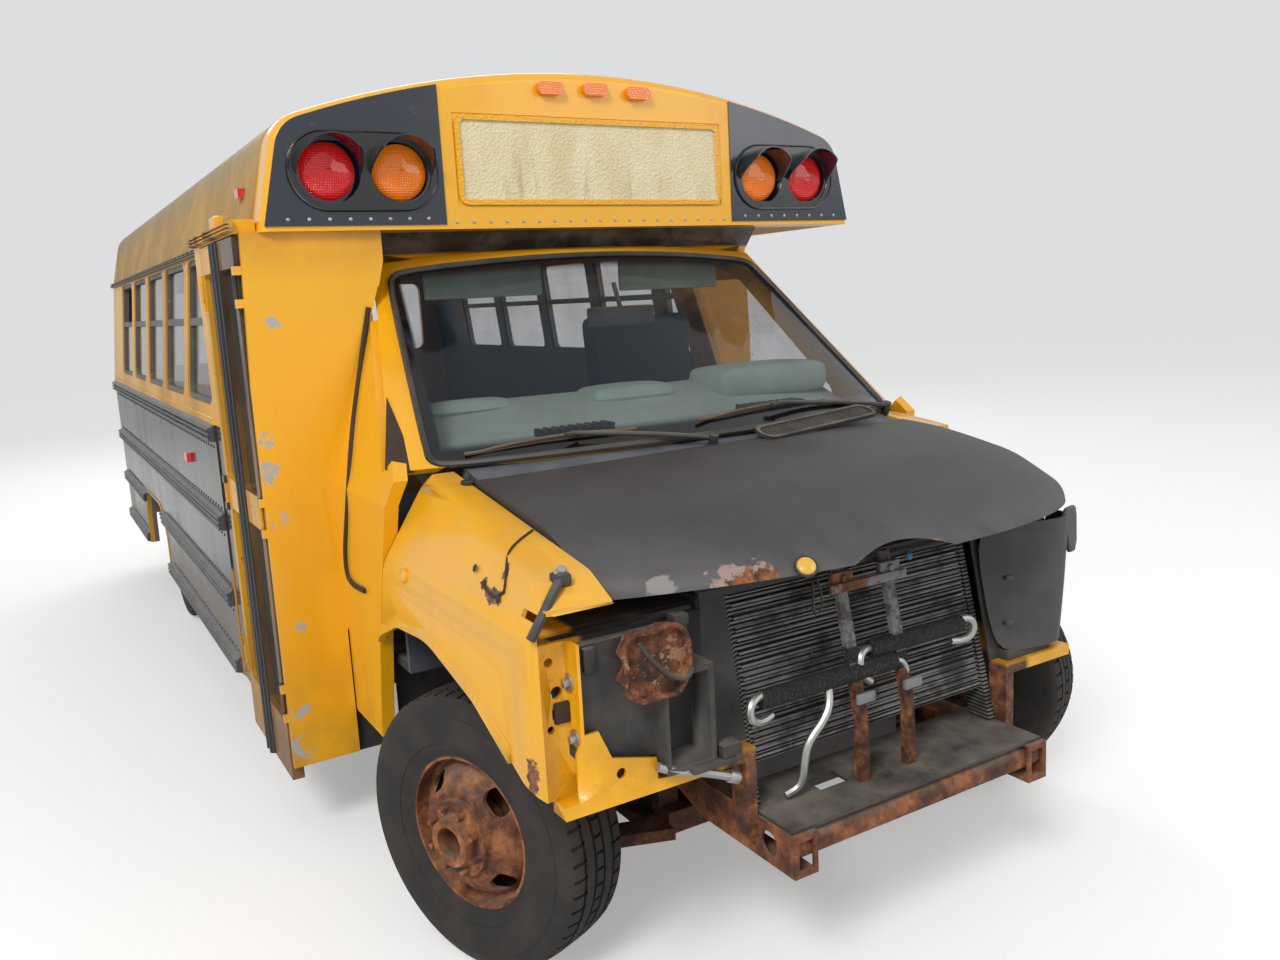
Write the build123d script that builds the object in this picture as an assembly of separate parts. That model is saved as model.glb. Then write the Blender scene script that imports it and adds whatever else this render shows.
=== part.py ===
from build123d import *
import os
from math import atan2, cos, degrees, hypot, radians, sin, sqrt

# Short school bus on a van cab chassis. Millimetres, X to the vehicle's left, Y to its rear, Z up.
# Lengths are laid out from a datum at the front axle's nominal line and moved at the end, so that
# the origin lies under the middle of the whole length, on the ground.

# Chassis sizes
wheelbase = 4040.0
axle_front_y = 15.0
axle_rear_y = axle_front_y + wheelbase
tyre_radius = 372.0
tyre_width = 223.0
rim_radius = 203.0
rim_width = 176.0
stud_count = 8
stud_circle = 165.1
hub_bore_radius = 52.0
kingpin_x = 860.0
front_wheel_x = 891.0
steer_rest = 21.3
dual_face_x = 883.0
dual_spacing = 268.0
spindle_radius = 30.0
spindle_gap = 0.3
rail_outer_x = 436.0
rail_flange = 70.0
rail_wall = 7.0
rail_front_y = -694.0
rail_rear_y = 5660.0
horn_bottom_z = 370.0
horn_top_z = 474.0
rail_top_z = 640.0
rail_depth = 180.0

# Body sizes
body_half_width = 1220.0
belt_z = 1331.0
eave_lean = 72.0
eave_half_width = body_half_width - eave_lean
eave_z = 1985.0
roof_lean = 43.0
roof_lean_half_width = eave_half_width - roof_lean
roof_lean_z = 2170.0
crown_z = 2469.0
crown_radius = 3170.0
roof_corner_radius = 130.0
skirt_z = 377.0
wall = 45.0
skin_cut_low_x = body_half_width - 220
skin_cut_high_x = body_half_width + 80
roof_wall = 35.0
cap_front_y = 823.0
cap_rear_y = 950.0
cap_bottom_z = 1957.0
cap_wall = 40.0
front_wall_y = 850.0
front_wall_thick = 22.0
left_wall_front_y = 1622.0
body_rear_y = 5650.0
rear_wall_thick = 40.0
floor_top_z = 690.0
floor_thick = 30.0
sill_height = 20.0
sill_pitch = 610.0

# Entry doorway on the right side
door_front_y = 872.0
door_rear_y = 1480.0
door_surround_x = body_half_width - 5
door_head_z = 1955.0
door_foot_z = 235.0
leaf_thick = 38.0
leaf_gap = 6.0
leaf_rubber = 44.0

# Side windows
window_count = 5
window_first_rear_y = 2230.0
window_pitch = 700.0
window_length = 600.0
window_bottom_z = 1400.0
window_top_z = 1945.0
window_corner = 55.0
glass_thick = 6.0
glass_gap = 0.3

# Rub rails, one row each: bottom z
rail_rows = (377.0, 640.0, 932.0, 1265.0)
rub_height = 66.0
rub_proud = 22.0
rub_front_y = 1612.0
drip_proud = 20.0
drip_height = 32.0

# Cab sizes
cab_half_width = 1000.0
cab_shoulder_z = 1180.0
cab_roof_half_width = 775.0
cab_roof_z = 1865.0
cab_skin = 40.0
ws_base_corner = (869.0, 336.0, 1270.0)
ws_base_mid = (0.0, 60.0, 1300.0)
ws_top_corner = (736.0, 951.0, 1823.0)
ws_top_mid = (0.0, 862.0, 1862.0)
ws_thick = 8.0
hood_half_width = 800.0
hood_rear_y = 185.0
hood_rear_mid_y = 0.0
nose_mid_y = -764.0
hood_hinge = (262.0, 1196.0)
firewall_y = 430.0
driver_door_rear_y = 1500.0


def block(x0, x1, y0, y1, z0, z1):
    return Pos((x0 + x1) / 2, (y0 + y1) / 2, (z0 + z1) / 2) * Box(abs(x1 - x0), abs(y1 - y0), abs(z1 - z0))


def outline(points):
    """A closed face through 3-D points, each with a corner radius as fourth number."""
    radii = [point[3] for point in points]
    corners = [point[:3] for point in points]
    if max(radii) == 0:
        return make_face(Polyline(*corners, close=True))
    return make_face(FilletPolyline(*corners, radius=radii, close=True))


def alongX(rows, x0, x1):
    """Rows are (y, z) or (y, z, corner radius)."""
    points = [(x0, row[0], row[1], row[2] if len(row) > 2 else 0) for row in rows]
    return extrude(outline(points), amount=x1 - x0, dir=(1, 0, 0))


def alongY(rows, y0, y1):
    """Rows are (x, z) or (x, z, corner radius)."""
    points = [(row[0], y0, row[1], row[2] if len(row) > 2 else 0) for row in rows]
    return extrude(outline(points), amount=y1 - y0, dir=(0, 1, 0))


def alongZ(rows, z0, z1):
    """Rows are (x, y) or (x, y, corner radius)."""
    points = [(row[0], row[1], z0, row[2] if len(row) > 2 else 0) for row in rows]
    return extrude(outline(points), amount=z1 - z0, dir=(0, 0, 1))


def rodX(x0, x1, y, z, radius):
    return Pos((x0 + x1) / 2, y, z) * Rot(0, 90, 0) * Cylinder(radius, abs(x1 - x0))


def rodY(x, y0, y1, z, radius):
    return Pos(x, (y0 + y1) / 2, z) * Rot(90, 0, 0) * Cylinder(radius, abs(y1 - y0))


def rodZ(x, y, z0, z1, radius):
    return Pos(x, y, (z0 + z1) / 2) * Cylinder(radius, abs(z1 - z0))


def rodBetween(start, stop, radius):
    return extrude(Plane(origin=start, z_dir=Vector(*stop) - Vector(*start)) * Circle(radius),
                   amount=(Vector(*stop) - Vector(*start)).length)


def mirrored(part):
    return mirror(part, about=Plane.YZ)


def bothSides(part):
    return [part, mirrored(part)]


def pathTube(points, bend, radius):
    """A tube along straight runs joined by tangent arcs."""
    path = FilletPolyline(*points, radius=bend)
    start = Plane(origin=path @ 0, z_dir=path % 0)
    return sweep(start * Circle(radius), path=path)


def insetRows(rows, gap):
    """A convex outline of (a, b, corner radius) rows moved inwards by a gap; rows run anticlockwise."""
    lines = []
    for index, start in enumerate(rows):
        stop = rows[(index + 1) % len(rows)]
        run = stop[0] - start[0]
        rise = stop[1] - start[1]
        length = hypot(run, rise)
        lines.append((start[0] - rise / length * gap, start[1] + run / length * gap, run, rise))
    moved = []
    for index, row in enumerate(rows):
        a0, b0, run0, rise0 = lines[index - 1]
        a1, b1, run1, rise1 = lines[index]
        along = ((a1 - a0) * rise1 - (b1 - b0) * run1) / (run0 * rise1 - rise0 * run1)
        moved.append((a0 + run0 * along, b0 + rise0 * along, max(row[2] - gap, 0)))
    return moved


def frameRows(a0, a1, b0, b1, corner):
    return [(a0, b0, corner), (a1, b0, corner), (a1, b1, corner), (a0, b1, corner)]


def knuckleStack(x, y, heights, radius, length, moving):
    """Hinge knuckles on one vertical axis: the moving ones, or the fixed ones above and below them."""
    stack = []
    for z in heights:
        if moving:
            stack.append(rodZ(x, y, z - length / 2, z + length / 2, radius))
        else:
            for way in (-1, 1):
                near = z + way * (length / 2 + knuckle_gap)
                far = near + way * knuckle_fixed
                stack.append(rodZ(x, y, min(near, far), max(near, far), radius))
    return stack


knuckle_gap = 0.3
knuckle_fixed = 26.0
saved = {}


def keep(node, *shapes):
    solids = []
    for shape in shapes:
        for item in (shape if isinstance(shape, (list, tuple)) else [shape]):
            solids.extend(item.solids())
    saved[node] = solids


# Body section: a side leans in from the belt, then a crowned roof with rounded corners
def sideHalfWidth(z):
    if z <= belt_z:
        return body_half_width
    if z <= eave_z:
        return body_half_width + (eave_half_width - body_half_width) * (z - belt_z) / (eave_z - belt_z)
    slope = (roof_lean_half_width - eave_half_width) / (roof_lean_z - eave_z)
    return eave_half_width + slope * (z - eave_z)


def roofSolid(inset, base_z, y0, y1):
    top_z = crown_z + 60
    base = sideHalfWidth(max(base_z, eave_z)) - inset
    top = sideHalfWidth(top_z) - inset
    sides = alongY([(-base, base_z), (-top, top_z), (top, top_z), (base, base_z)], y0, y1)
    drum = rodY(0, y0, y1, crown_z - crown_radius, crown_radius - inset)
    body = sides & drum
    corners = [e for e in body.edges().filter_by(Axis.Y) if e.center().Z > roof_lean_z]
    return fillet(corners, roof_corner_radius - inset)


# Chassis frame: two channel rails with horns at the front and a kick-up over the rear axle
def railShape(inset):
    top = rail_top_z - inset
    low = rail_top_z - rail_depth + inset
    return [
        (rail_front_y, horn_bottom_z + inset), (-320, horn_bottom_z + inset, 60),
        (-130, low - 30, 60), (600, low - 30, 60), (800, low, 60),
        (axle_rear_y - 560, low, 60), (axle_rear_y - 380, 520 + inset, 60),
        (axle_rear_y + 380, 520 + inset, 60), (axle_rear_y + 560, low + 20, 60),
        (rail_rear_y, low + 20), (rail_rear_y, top), (820, top, 60), (560, 560 - inset, 60),
        (-120, 560 - inset, 60), (-330, horn_top_z - inset, 60), (rail_front_y, horn_top_z - inset),
    ]


def frameRail():
    inner_x = rail_outer_x - rail_flange
    rail = alongX(railShape(0), inner_x, rail_outer_x)
    rail -= alongX(railShape(rail_wall), inner_x - 1, rail_outer_x - rail_wall)
    rail += block(inner_x, rail_outer_x, rail_front_y, rail_front_y + 8, horn_bottom_z, horn_top_z)
    rail -= block(inner_x + 12, rail_outer_x - 14, rail_front_y - 1, rail_front_y + 9,
                  horn_bottom_z + 16, horn_top_z - 16)
    rail -= rodX(rail_outer_x - 20, rail_outer_x + 1, horn_hole_y, horn_mid_z, 30)
    for side_y in (-1, 1):
        for side_z in (-1, 1):
            rail -= rodX(rail_outer_x - 20, rail_outer_x + 1, bumper_bolt_y + side_y * bumper_bolt_span_y / 2,
                         horn_mid_z + side_z * bumper_bolt_span_z / 2, bumper_bolt_radius)
    return rail


horn_mid_z = (horn_bottom_z + horn_top_z) / 2
horn_hole_y = -600.0
bumper_bolt_y = -500.0
bumper_bolt_span_y = 80.0
bumper_bolt_span_z = 60.0
bumper_bolt_radius = 7.0

rail_inner_x = rail_outer_x - rail_flange
keep("frame_rails", bothSides(frameRail()))

cross_tube_y = -650.0
cross_tube_z = 432.0
cross_tube_radius = 34.0
member_rows = (  # y, depth along Y, bottom z, top z
    (1330, 80, 530, 610),
    (1850, 80, 500, 600),
    (2750, 80, 500, 600),
    (3420, 80, 500, 600),
    (4680, 70, 520, 620),
    (5560, 70, 520, 620),
)
rail_web_x = rail_outer_x - rail_wall
members = [rodX(-rail_web_x, rail_web_x, cross_tube_y, cross_tube_z, cross_tube_radius)]
for y, deep, low, high in member_rows:
    member = block(-rail_web_x, rail_web_x, y - deep / 2, y + deep / 2, low, high)
    member -= block(-rail_web_x - 1, rail_web_x + 1, y - deep / 2 + 7, y + deep / 2 + 1, low + 7, high - 7)
    members.append(member)
keep("cross_members", members)


# Front suspension: a cradle under the rails, two arms a side and pins on the steering axis
arm_pin_radius = 12.0
arm_tip_radius = 26.0
pin_gap = 0.3
knuckle_low_z = 285.0
knuckle_high_z = 475.0


def suspensionSide():
    tip = arm_tip_radius
    lower = alongZ([(430, -170), (430, 190), (kingpin_x, axle_front_y + tip), (kingpin_x, axle_front_y - tip)],
                   236, 270)
    lower += rodZ(kingpin_x, axle_front_y, 236, 270, tip)
    lower -= alongZ([(480, -70, 20), (480, 95, 20), (700, axle_front_y + 14, 8), (700, axle_front_y - 14, 8)],
                    230, 280)
    lower += rodZ(kingpin_x, axle_front_y, 262, knuckle_low_z + 22, arm_pin_radius)
    upper = alongZ([(rail_outer_x, -120), (rail_outer_x, 150), (kingpin_x, axle_front_y + tip), (kingpin_x, axle_front_y - tip)],
                   492, 514)
    upper += rodZ(kingpin_x, axle_front_y, 492, 514, tip)
    upper += rodZ(kingpin_x, axle_front_y, knuckle_high_z - 22, 500, arm_pin_radius)
    tower = block(rail_outer_x, 500, -120, 150, 440, 560)
    spring = rodZ(590, axle_front_y, 270, 492, 38) + rodZ(590, axle_front_y, 258, 270, 60)
    return lower + spring + upper + tower


cradle = block(-430, 430, -140, 160, 236, 300) - block(-360, 360, -110, 130, 252, 301)
for side in (-1, 1):
    cradle += block(min(side * rail_inner_x, side * 430), max(side * rail_inner_x, side * 430), -90, 150, 300, 430)
suspension = cradle
for side in bothSides(suspensionSide()):
    suspension += side
keep("front_suspension", suspension)


# Knuckle and wheels are built straight ahead for the left side, then turned about the steering axis
def ring(rows):
    """A revolved wheel section: rows are (outward offset, radius, corner radius)."""
    points = [(row[0], 0, row[1], row[2] if len(row) > 2 else 0) for row in rows]
    return revolve(outline(points), axis=Axis.X)


def tyre():
    half = tyre_width / 2
    bead = rim_width / 2 - 12
    low = rim_radius + glass_gap
    return ring([
        (-bead, low), (-bead, low + 17), (-half + 8, low + 34), (-half, 292), (-half + 10, tyre_radius - 26), (-half + 34, tyre_radius),
        (half - 34, tyre_radius), (half - 10, tyre_radius - 26), (half, 292), (half - 8, low + 34),
        (bead, low + 17), (bead, low),
    ])


def rimBarrel():
    half = rim_width / 2
    flange = rim_radius + 12
    return ring([
        (-half, flange), (-half + 6, flange), (-half + 8, rim_radius), (-40, rim_radius), (-30, 186),
        (30, 186), (40, rim_radius), (half - 8, rim_radius), (half - 6, flange), (half, flange),
        (half, rim_radius - 6), (46, rim_radius - 7), (36, 179), (-36, 179), (-46, rim_radius - 7),
        (-half, rim_radius - 6),
    ])


def wheelDisc(root, face, thick):
    """A dished disc from the barrel at offset root out to a hub face at offset face."""
    bow = (face - root) * 0.62
    return ring([
        (root, 186), (root + bow, 158, 20), (face, 118, 16), (face, hub_bore_radius),
        (face - thick, hub_bore_radius), (face - thick, 116, 16), (root + bow - thick, 150),
        (root - thick, 182),
    ])


def handHoles(mid, length):
    holes = []
    for turn in (45, 135, 225, 315):
        slot = Pos(mid, 0, 0) * Rot(turn, 0, 0) * Pos(0, 0, 152) * Rot(0, 90, 0)
        holes.append(slot * extrude(SlotOverall(76, 42, rotation=90), amount=length / 2, both=True))
    return holes


def hub_nose(face):
    return face + 46


def hubAndStuds(face):
    half_circle = stud_circle / 2
    hub = ring([(face - 12, hub_bore_radius - 10), (face - 12, 104), (face + 16, 100), (face + 16, 70),
                (hub_nose(face), 62), (hub_nose(face), hub_bore_radius - 10)])
    for index in range(stud_count):
        angle = radians(360 / stud_count * (index + 0.5))
        hub += rodX(face, face + 42, half_circle * cos(angle), half_circle * sin(angle), 7)
    return hub


def frontWheel():
    face = rim_width / 2 + 20
    wheel = rimBarrel() + wheelDisc(40, face, 8)
    for hole in handHoles(70, 120):
        wheel -= hole
    wheel += hubAndStuds(face)
    wheel += ring([(face - 90, spindle_radius + spindle_gap), (face - 90, 70), (face - 12, 78),
                   (face - 12, spindle_radius + spindle_gap)])
    return wheel


def knuckle():
    offset = front_wheel_x - kingpin_x
    hub_inner = offset + rim_width / 2 + 20 - 90
    upright = alongY([(-26, knuckle_low_z), (-26, knuckle_high_z), (26, knuckle_high_z), (34, tyre_radius + 45),
                      (34, tyre_radius - 45), (26, knuckle_low_z)], -32, 32)
    upright = Pos(0, 0, -tyre_radius) * upright
    spindle = rodX(20, hub_inner + 74, 0, 0, spindle_radius)
    arm = alongZ([(-30, -20), (-30, 150, 12), (-2, 150, 12), (10, 20)], -70, -46)
    body = upright + spindle + arm
    body -= rodZ(0, 0, knuckle_low_z - tyre_radius - 1, knuckle_low_z - tyre_radius + 26, arm_pin_radius + pin_gap)
    body -= rodZ(0, 0, knuckle_high_z - tyre_radius - 26, knuckle_high_z - tyre_radius + 1,
                 arm_pin_radius + pin_gap)
    plate = rodX(34, 42, 0, 0, 125) - rodX(33, 43, 0, 0, 40)
    return body + plate


def steered(part, side):
    """From the wheel's own frame to its place, with the wheels turned to the vehicle's left."""
    placed = part if side > 0 else mirrored(part)
    return Pos(side * kingpin_x, axle_front_y, tyre_radius) * Rot(0, 0, steer_rest) * placed


wheel_offset = Pos(front_wheel_x - kingpin_x, 0, 0)
for side, word in ((1, "left"), (-1, "right")):
    keep("knuckle_" + word, steered(knuckle(), side))
    keep("front_wheel_" + word, steered(wheel_offset * frontWheel(), side))
    keep("front_tyre_" + word, steered(wheel_offset * tyre(), side))


# Rear dual wheels: two rims bolted face to face on one hub
def rearRims():
    reach = dual_spacing / 2
    outer = rimBarrel() + wheelDisc(20, reach, 8)
    for hole in handHoles(75, 150):
        outer -= hole
    outer = mirrored(outer)
    inner = mirrored(outer)
    pair = Pos(reach, 0, 0) * outer + Pos(-reach, 0, 0) * inner
    hub = ring([(-60, axle_tube_radius + spindle_gap), (-60, 100), (90, 100), (90, 60), (150, 55, 8),
                (150, axle_tube_radius + spindle_gap)])
    hub += ring([(120, 0), (120, 55), (158, 50, 8), (158, 0)])
    return pair + hub


axle_tube_radius = 38.0
for side, word in ((1, "left"), (-1, "right")):
    place = Pos(dual_face_x, axle_rear_y, tyre_radius)
    rims = place * rearRims()
    pair = [place * Pos(side_x * dual_spacing / 2, 0, 0) * tyre() for side_x in (-1, 1)]
    if side < 0:
        rims = mirrored(rims)
        pair = [mirrored(one) for one in pair]
    keep("rear_wheels_" + word, rims)
    keep("rear_tyres_" + word, pair)

# Rear axle with its leaf springs, seated against the rails by brackets
spring_x = 505.0
spring_width = 64.0
axle = rodX(-dual_face_x - 115, dual_face_x + 115, axle_rear_y, tyre_radius, axle_tube_radius)
axle += rodX(-560, 560, axle_rear_y, tyre_radius, 52)
axle += Pos(0, axle_rear_y, tyre_radius) * Sphere(165) & block(-170, 170, axle_rear_y - 150, axle_rear_y + 190,
                                                              tyre_radius - 150, tyre_radius + 120)
for side in (-1, 1):
    x0 = side * spring_x - spring_width / 2
    x1 = side * spring_x + spring_width / 2
    for index, reach in enumerate((650, 480, 300)):
        top = tyre_radius + 92 - index * 14
        axle += alongX([(axle_rear_y - reach, top + 40 - index * 12), (axle_rear_y - 120, top, 300),
                        (axle_rear_y + 120, top, 300), (axle_rear_y + reach, top + 40 - index * 12),
                        (axle_rear_y + reach, top + 26 - index * 12), (axle_rear_y + 120, top - 14, 300),
                        (axle_rear_y - 120, top - 14, 300), (axle_rear_y - reach, top + 26 - index * 12)], x0, x1)
    axle += block(x0 - 4, x1 + 4, axle_rear_y - 70, axle_rear_y + 70, tyre_radius - 60, tyre_radius + 98)
    for end in (-650, 650):
        axle += rodX(x0, x1, axle_rear_y + end, tyre_radius + 118, 26)
        hanger_x = side * rail_outer_x
        axle += block(min(hanger_x, x1, x0), max(hanger_x, x0, x1), axle_rear_y + end - 30,
                      axle_rear_y + end + 30, tyre_radius + 118, tyre_radius + 200)
keep("rear_axle", axle)

keep("drive_shaft", rodBetween((0, 1262, 470), (0, axle_rear_y - 152, 400), 38))

engine = block(-270, 270, -300, 330, 330, 900) + block(-190, 190, -240, 300, 900, 985)
gearbox = block(-200, 200, 330, 640, 370, 660) + block(-110, 110, 640, 1260, 380, 560)
keep("engine_block", engine + gearbox)

exhaust = pathTube([(-160, 640, 430), (-160, 740, 430), (-250, 1000, 400), (-250, 1500, 400)], [60, 120], 28)
exhaust += block(-275, -235, 1840, 1860, 449, member_rows[1][2])
exhaust += block(-350, -160, 1480, 2150, 330, 450)
exhaust += pathTube([(-250, 2140, 400), (-250, 3050, 400), (-300, 3500, 470), (-300, 3700, 470)],
                    [200, 200], 28)
keep("exhaust", exhaust)

tank = block(-330, 330, 4760, 5480, 330, 512)
tank = fillet(tank.edges().filter_by(Axis.X), 50)
strap_rows = (4900.0, 5330.0)
hanger_z = rail_top_z - rail_depth + 20 + rail_wall
for y in strap_rows:
    tank += block(-336, 336, y - 20, y + 20, 324, 518)
    for side in (-1, 1):
        tank += block(min(side * 330, side * rail_web_x), max(side * 330, side * rail_web_x), y - 20, y + 20,
                      hanger_z, hanger_z + 8)
keep("fuel_tank", tank)

bumper_half = body_half_width - 70
bumper = block(-bumper_half, bumper_half, rail_rear_y, rail_rear_y + 110, 430, 640)
bumper -= block(10 - bumper_half, bumper_half - 10, rail_rear_y - 1, rail_rear_y + 100, 440, 630)
bumper += block(-rail_outer_x, -rail_inner_x, rail_rear_y, rail_rear_y + 105, 480, 620)
bumper += block(rail_inner_x, rail_outer_x, rail_rear_y, rail_rear_y + 105, 480, 620)
keep("rear_bumper", bumper)


# Floor: plate on cross sills, wheel boxes over the rear wheels and a stepped entry well
floor_low_z = floor_top_z - floor_thick
surround_inner_x = door_surround_x - 85
wheel_box_front_y = axle_rear_y - 470
wheel_box_rear_y = axle_rear_y + 470
wheel_box_inner_x = 560.0
wheel_box_top_z = 900.0
wheel_box_skin = 20.0
skin_inner_x = body_half_width - wall
well_inner_x = 620.0
rear_inner_y = body_rear_y - rear_wall_thick

floor = block(-skin_inner_x, skin_inner_x, left_wall_front_y, rear_inner_y, floor_low_z, floor_top_z)
floor += block(-well_inner_x, 940, firewall_y + 20, left_wall_front_y, floor_low_z, floor_top_z)
floor += block(-surround_inner_x, -well_inner_x + 1, door_rear_y, left_wall_front_y, floor_low_z, floor_top_z)
floor += block(-940, -well_inner_x + 1, firewall_y + 20, front_wall_y, floor_low_z, floor_top_z)
for side in (-1, 1):
    inner = side * wheel_box_inner_x
    outer = side * skin_inner_x
    x0 = min(inner, outer)
    x1 = max(inner, outer)
    floor += block(x0, x1, wheel_box_front_y, wheel_box_rear_y, floor_low_z, wheel_box_top_z)
    cut0 = x0 + wheel_box_skin if side > 0 else x0
    cut1 = x1 - wheel_box_skin if side < 0 else x1
    floor -= block(cut0, cut1, wheel_box_front_y + wheel_box_skin, wheel_box_rear_y - wheel_box_skin,
                   floor_low_z - 1, wheel_box_top_z - wheel_box_skin)
sill_count = int((rear_inner_y - 1000) // sill_pitch)
for index in range(sill_count + 1):
    y = 1000 + index * sill_pitch
    wide = 930 if y < left_wall_front_y or abs(y - axle_rear_y) < 520 else skin_inner_x
    wide = 540 if abs(y - axle_rear_y) < 520 else wide
    low = -540 if y < left_wall_front_y else -wide
    floor += block(low, wide, y - 30, y + 30, floor_low_z - sill_height, floor_low_z + 1)
step_rows = (  # outer x, inner x, tread top z
    (65 - door_surround_x, -900, 290),
    (-900, -760, 490),
)
step_skin = 14.0
for outer, inner, tread in step_rows:
    floor += block(outer, inner + step_skin, door_front_y + 8, door_rear_y - 8, tread - step_skin, tread)
floor += block(-900, -900 + step_skin, door_front_y + 8, door_rear_y - 8, 290 - step_skin, 490)
floor += block(-760, -760 + step_skin, door_front_y + 8, door_rear_y - 8, 490 - step_skin, floor_top_z)
floor += block(-760, -well_inner_x + 1, door_front_y + 8, door_rear_y - 8, floor_low_z, floor_top_z)
for y in (door_front_y + 8, door_rear_y - 8 - step_skin):
    floor += alongY([(step_rows[0][0], 276), (step_rows[0][0], floor_top_z), (-746, floor_top_z), (-746, 476),
                     (-886, 476), (-886, 276)], y, y + step_skin)
cover = block(-250, 260, firewall_y + 20, 1010, floor_top_z, 945)
cover -= block(-235, 245, firewall_y + 19, 995, floor_low_z - 1, 930)
floor -= block(-235, 245, firewall_y + 19, 995, floor_low_z - 1, floor_top_z + 1)
floor += cover
keep("floor", floor)


# Hinge knuckles that the entry leaves turn on, carried by a plate on the doorway's edge
leaf_out_x = -door_surround_x - 4
leaf_axis_x = leaf_out_x - 3
leaf_hinge_heights = (500, 1100, 1800)
leaf_knuckle_radius = 7.0
leaf_knuckle_length = 70.0


def fixedKnuckles(edge_y, toward):
    """Knuckles beside a doorway edge; toward is 1 where the doorway lies rearward of the edge."""
    axis_y = edge_y + toward * (leaf_gap + 3)
    posts = knuckleStack(leaf_axis_x, axis_y, leaf_hinge_heights, leaf_knuckle_radius, leaf_knuckle_length, False)
    for z in leaf_hinge_heights:
        for way in (-1, 1):
            near = z + way * (leaf_knuckle_length / 2 + knuckle_gap)
            far = near + way * knuckle_fixed
            back_y = edge_y - toward * 18
            posts.append(block(leaf_axis_x - leaf_knuckle_radius, leaf_out_x - 2, min(back_y, axis_y),
                               max(back_y, axis_y), min(near, far), max(near, far)))
            posts.append(block(leaf_axis_x - leaf_knuckle_radius, 25 - door_surround_x, min(back_y, edge_y), max(back_y, edge_y),
                               min(near, far), max(near, far)))
    return posts


# Side walls: skin and lining as one panel with the windows, doorway and wheel arch cut
def wallRows(z0, z1):
    rows = [(sideHalfWidth(z0), z0)]
    if z0 < belt_z:
        rows.append((body_half_width, belt_z))
    rows.append((sideHalfWidth(z1), z1))
    rows.append((sideHalfWidth(z1) - wall, z1))
    if z0 < belt_z:
        rows.append((body_half_width - wall, belt_z))
    rows.append((sideHalfWidth(z0) - wall, z0))
    return rows


def windowSpans():
    return [(window_first_rear_y + index * window_pitch - window_length, window_first_rear_y
             + index * window_pitch) for index in range(window_count)]


def archCut(x0, x1, grow):
    low = skirt_z - 80
    return alongX([(axle_rear_y - 475 - grow, low), (axle_rear_y - 430 - grow, 720 + grow, 240),
                   (axle_rear_y + 430 + grow, 720 + grow, 240), (axle_rear_y + 475 + grow, low)], x0, x1)


def sideWall(front_y):
    panel = alongY(wallRows(skirt_z, eave_z), front_y, rear_inner_y)
    for y0, y1 in windowSpans():
        panel -= alongX(frameRows(y0, y1, window_bottom_z, window_top_z, window_corner), skin_cut_low_x, skin_cut_high_x)
    panel -= archCut(skin_cut_low_x, skin_cut_high_x, 0)
    lip = archCut(body_half_width - wall, body_half_width + 4, 14) - archCut(skin_cut_low_x, skin_cut_high_x, 0)
    lip &= block(skin_cut_low_x, skin_cut_high_x, axle_rear_y - 600, axle_rear_y + 600, skirt_z, belt_z)
    tyre_outer_x = dual_face_x + (dual_spacing + tyre_width) / 2
    return panel + lip - rodX(skin_cut_low_x, tyre_outer_x + 10, axle_rear_y, tyre_radius, tyre_radius + 20)


keep("side_wall_left", sideWall(left_wall_front_y))
right_wall = mirrored(sideWall(door_rear_y + 120))
right_wall += block(-door_surround_x, -surround_inner_x, door_rear_y, door_rear_y + 122, skirt_z, eave_z)
right_wall += block(-door_surround_x, -eave_half_width - 0.3, door_front_y, door_rear_y + 122, door_head_z,
                    eave_z + 12)
right_wall += block(-eave_half_width - 1, -eave_half_width + wall, cap_rear_y, door_rear_y + 122, door_head_z,
                    eave_z)
for post in fixedKnuckles(door_rear_y, -1):
    right_wall += post
keep("side_wall_right", right_wall)


# Window frames with a sash rail across, set in the middle of the wall, and a pane above and below the rail
def leaningSheet(thick, z0, z1, y0, y1):
    mid0 = sideHalfWidth(z0) - wall / 2
    mid1 = sideHalfWidth(z1) - wall / 2
    return alongY([(mid0 - thick / 2, z0), (mid1 - thick / 2, z1), (mid1 + thick / 2, z1), (mid0 + thick / 2, z0)],
                  y0, y1)


sash_frame_width = 20.0
sash_frame_thick = 30.0
sash_rail_z = 1690.0
sash_rail_height = 30.0
panes = []
sashes = []
for index, (y0, y1) in enumerate(windowSpans()):
    hole_rows = frameRows(y0, y1, window_bottom_z, window_top_z, window_corner)
    outer = alongX(insetRows(hole_rows, glass_gap), skin_cut_low_x, skin_cut_high_x)
    inner = alongX(insetRows(hole_rows, glass_gap + sash_frame_width), skin_cut_low_x, skin_cut_high_x)
    bar = block(skin_cut_low_x, skin_cut_high_x, y0, y1, sash_rail_z, sash_rail_z + sash_rail_height)
    sheet = leaningSheet(sash_frame_thick, window_bottom_z - 30, window_top_z + 30, y0, y1)
    sash = sheet & (outer - (inner - bar))
    light = alongX(insetRows(hole_rows, 2 * glass_gap + sash_frame_width), skin_cut_low_x, skin_cut_high_x)
    glass = leaningSheet(glass_thick, window_bottom_z - 30, window_top_z + 30, y0, y1) & light
    wide_bar = block(skin_cut_low_x, skin_cut_high_x, y0, y1, sash_rail_z - glass_gap,
                     sash_rail_z + sash_rail_height + glass_gap)
    sashes.extend(bothSides(sash))
    for pane in (glass - wide_bar).solids():
        panes.append(pane)
        # the last upper pane on the right is missing
        if index < window_count - 1 or pane.center().Z < sash_rail_z:
            panes.append(mirrored(pane))
keep("side_glass", panes)
keep("window_frames", sashes)


# Ribbed rub rails along both sides, broken at the wheel arch, and the drip rail over the doorway
def surroundWidth(_):
    return door_surround_x


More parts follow.
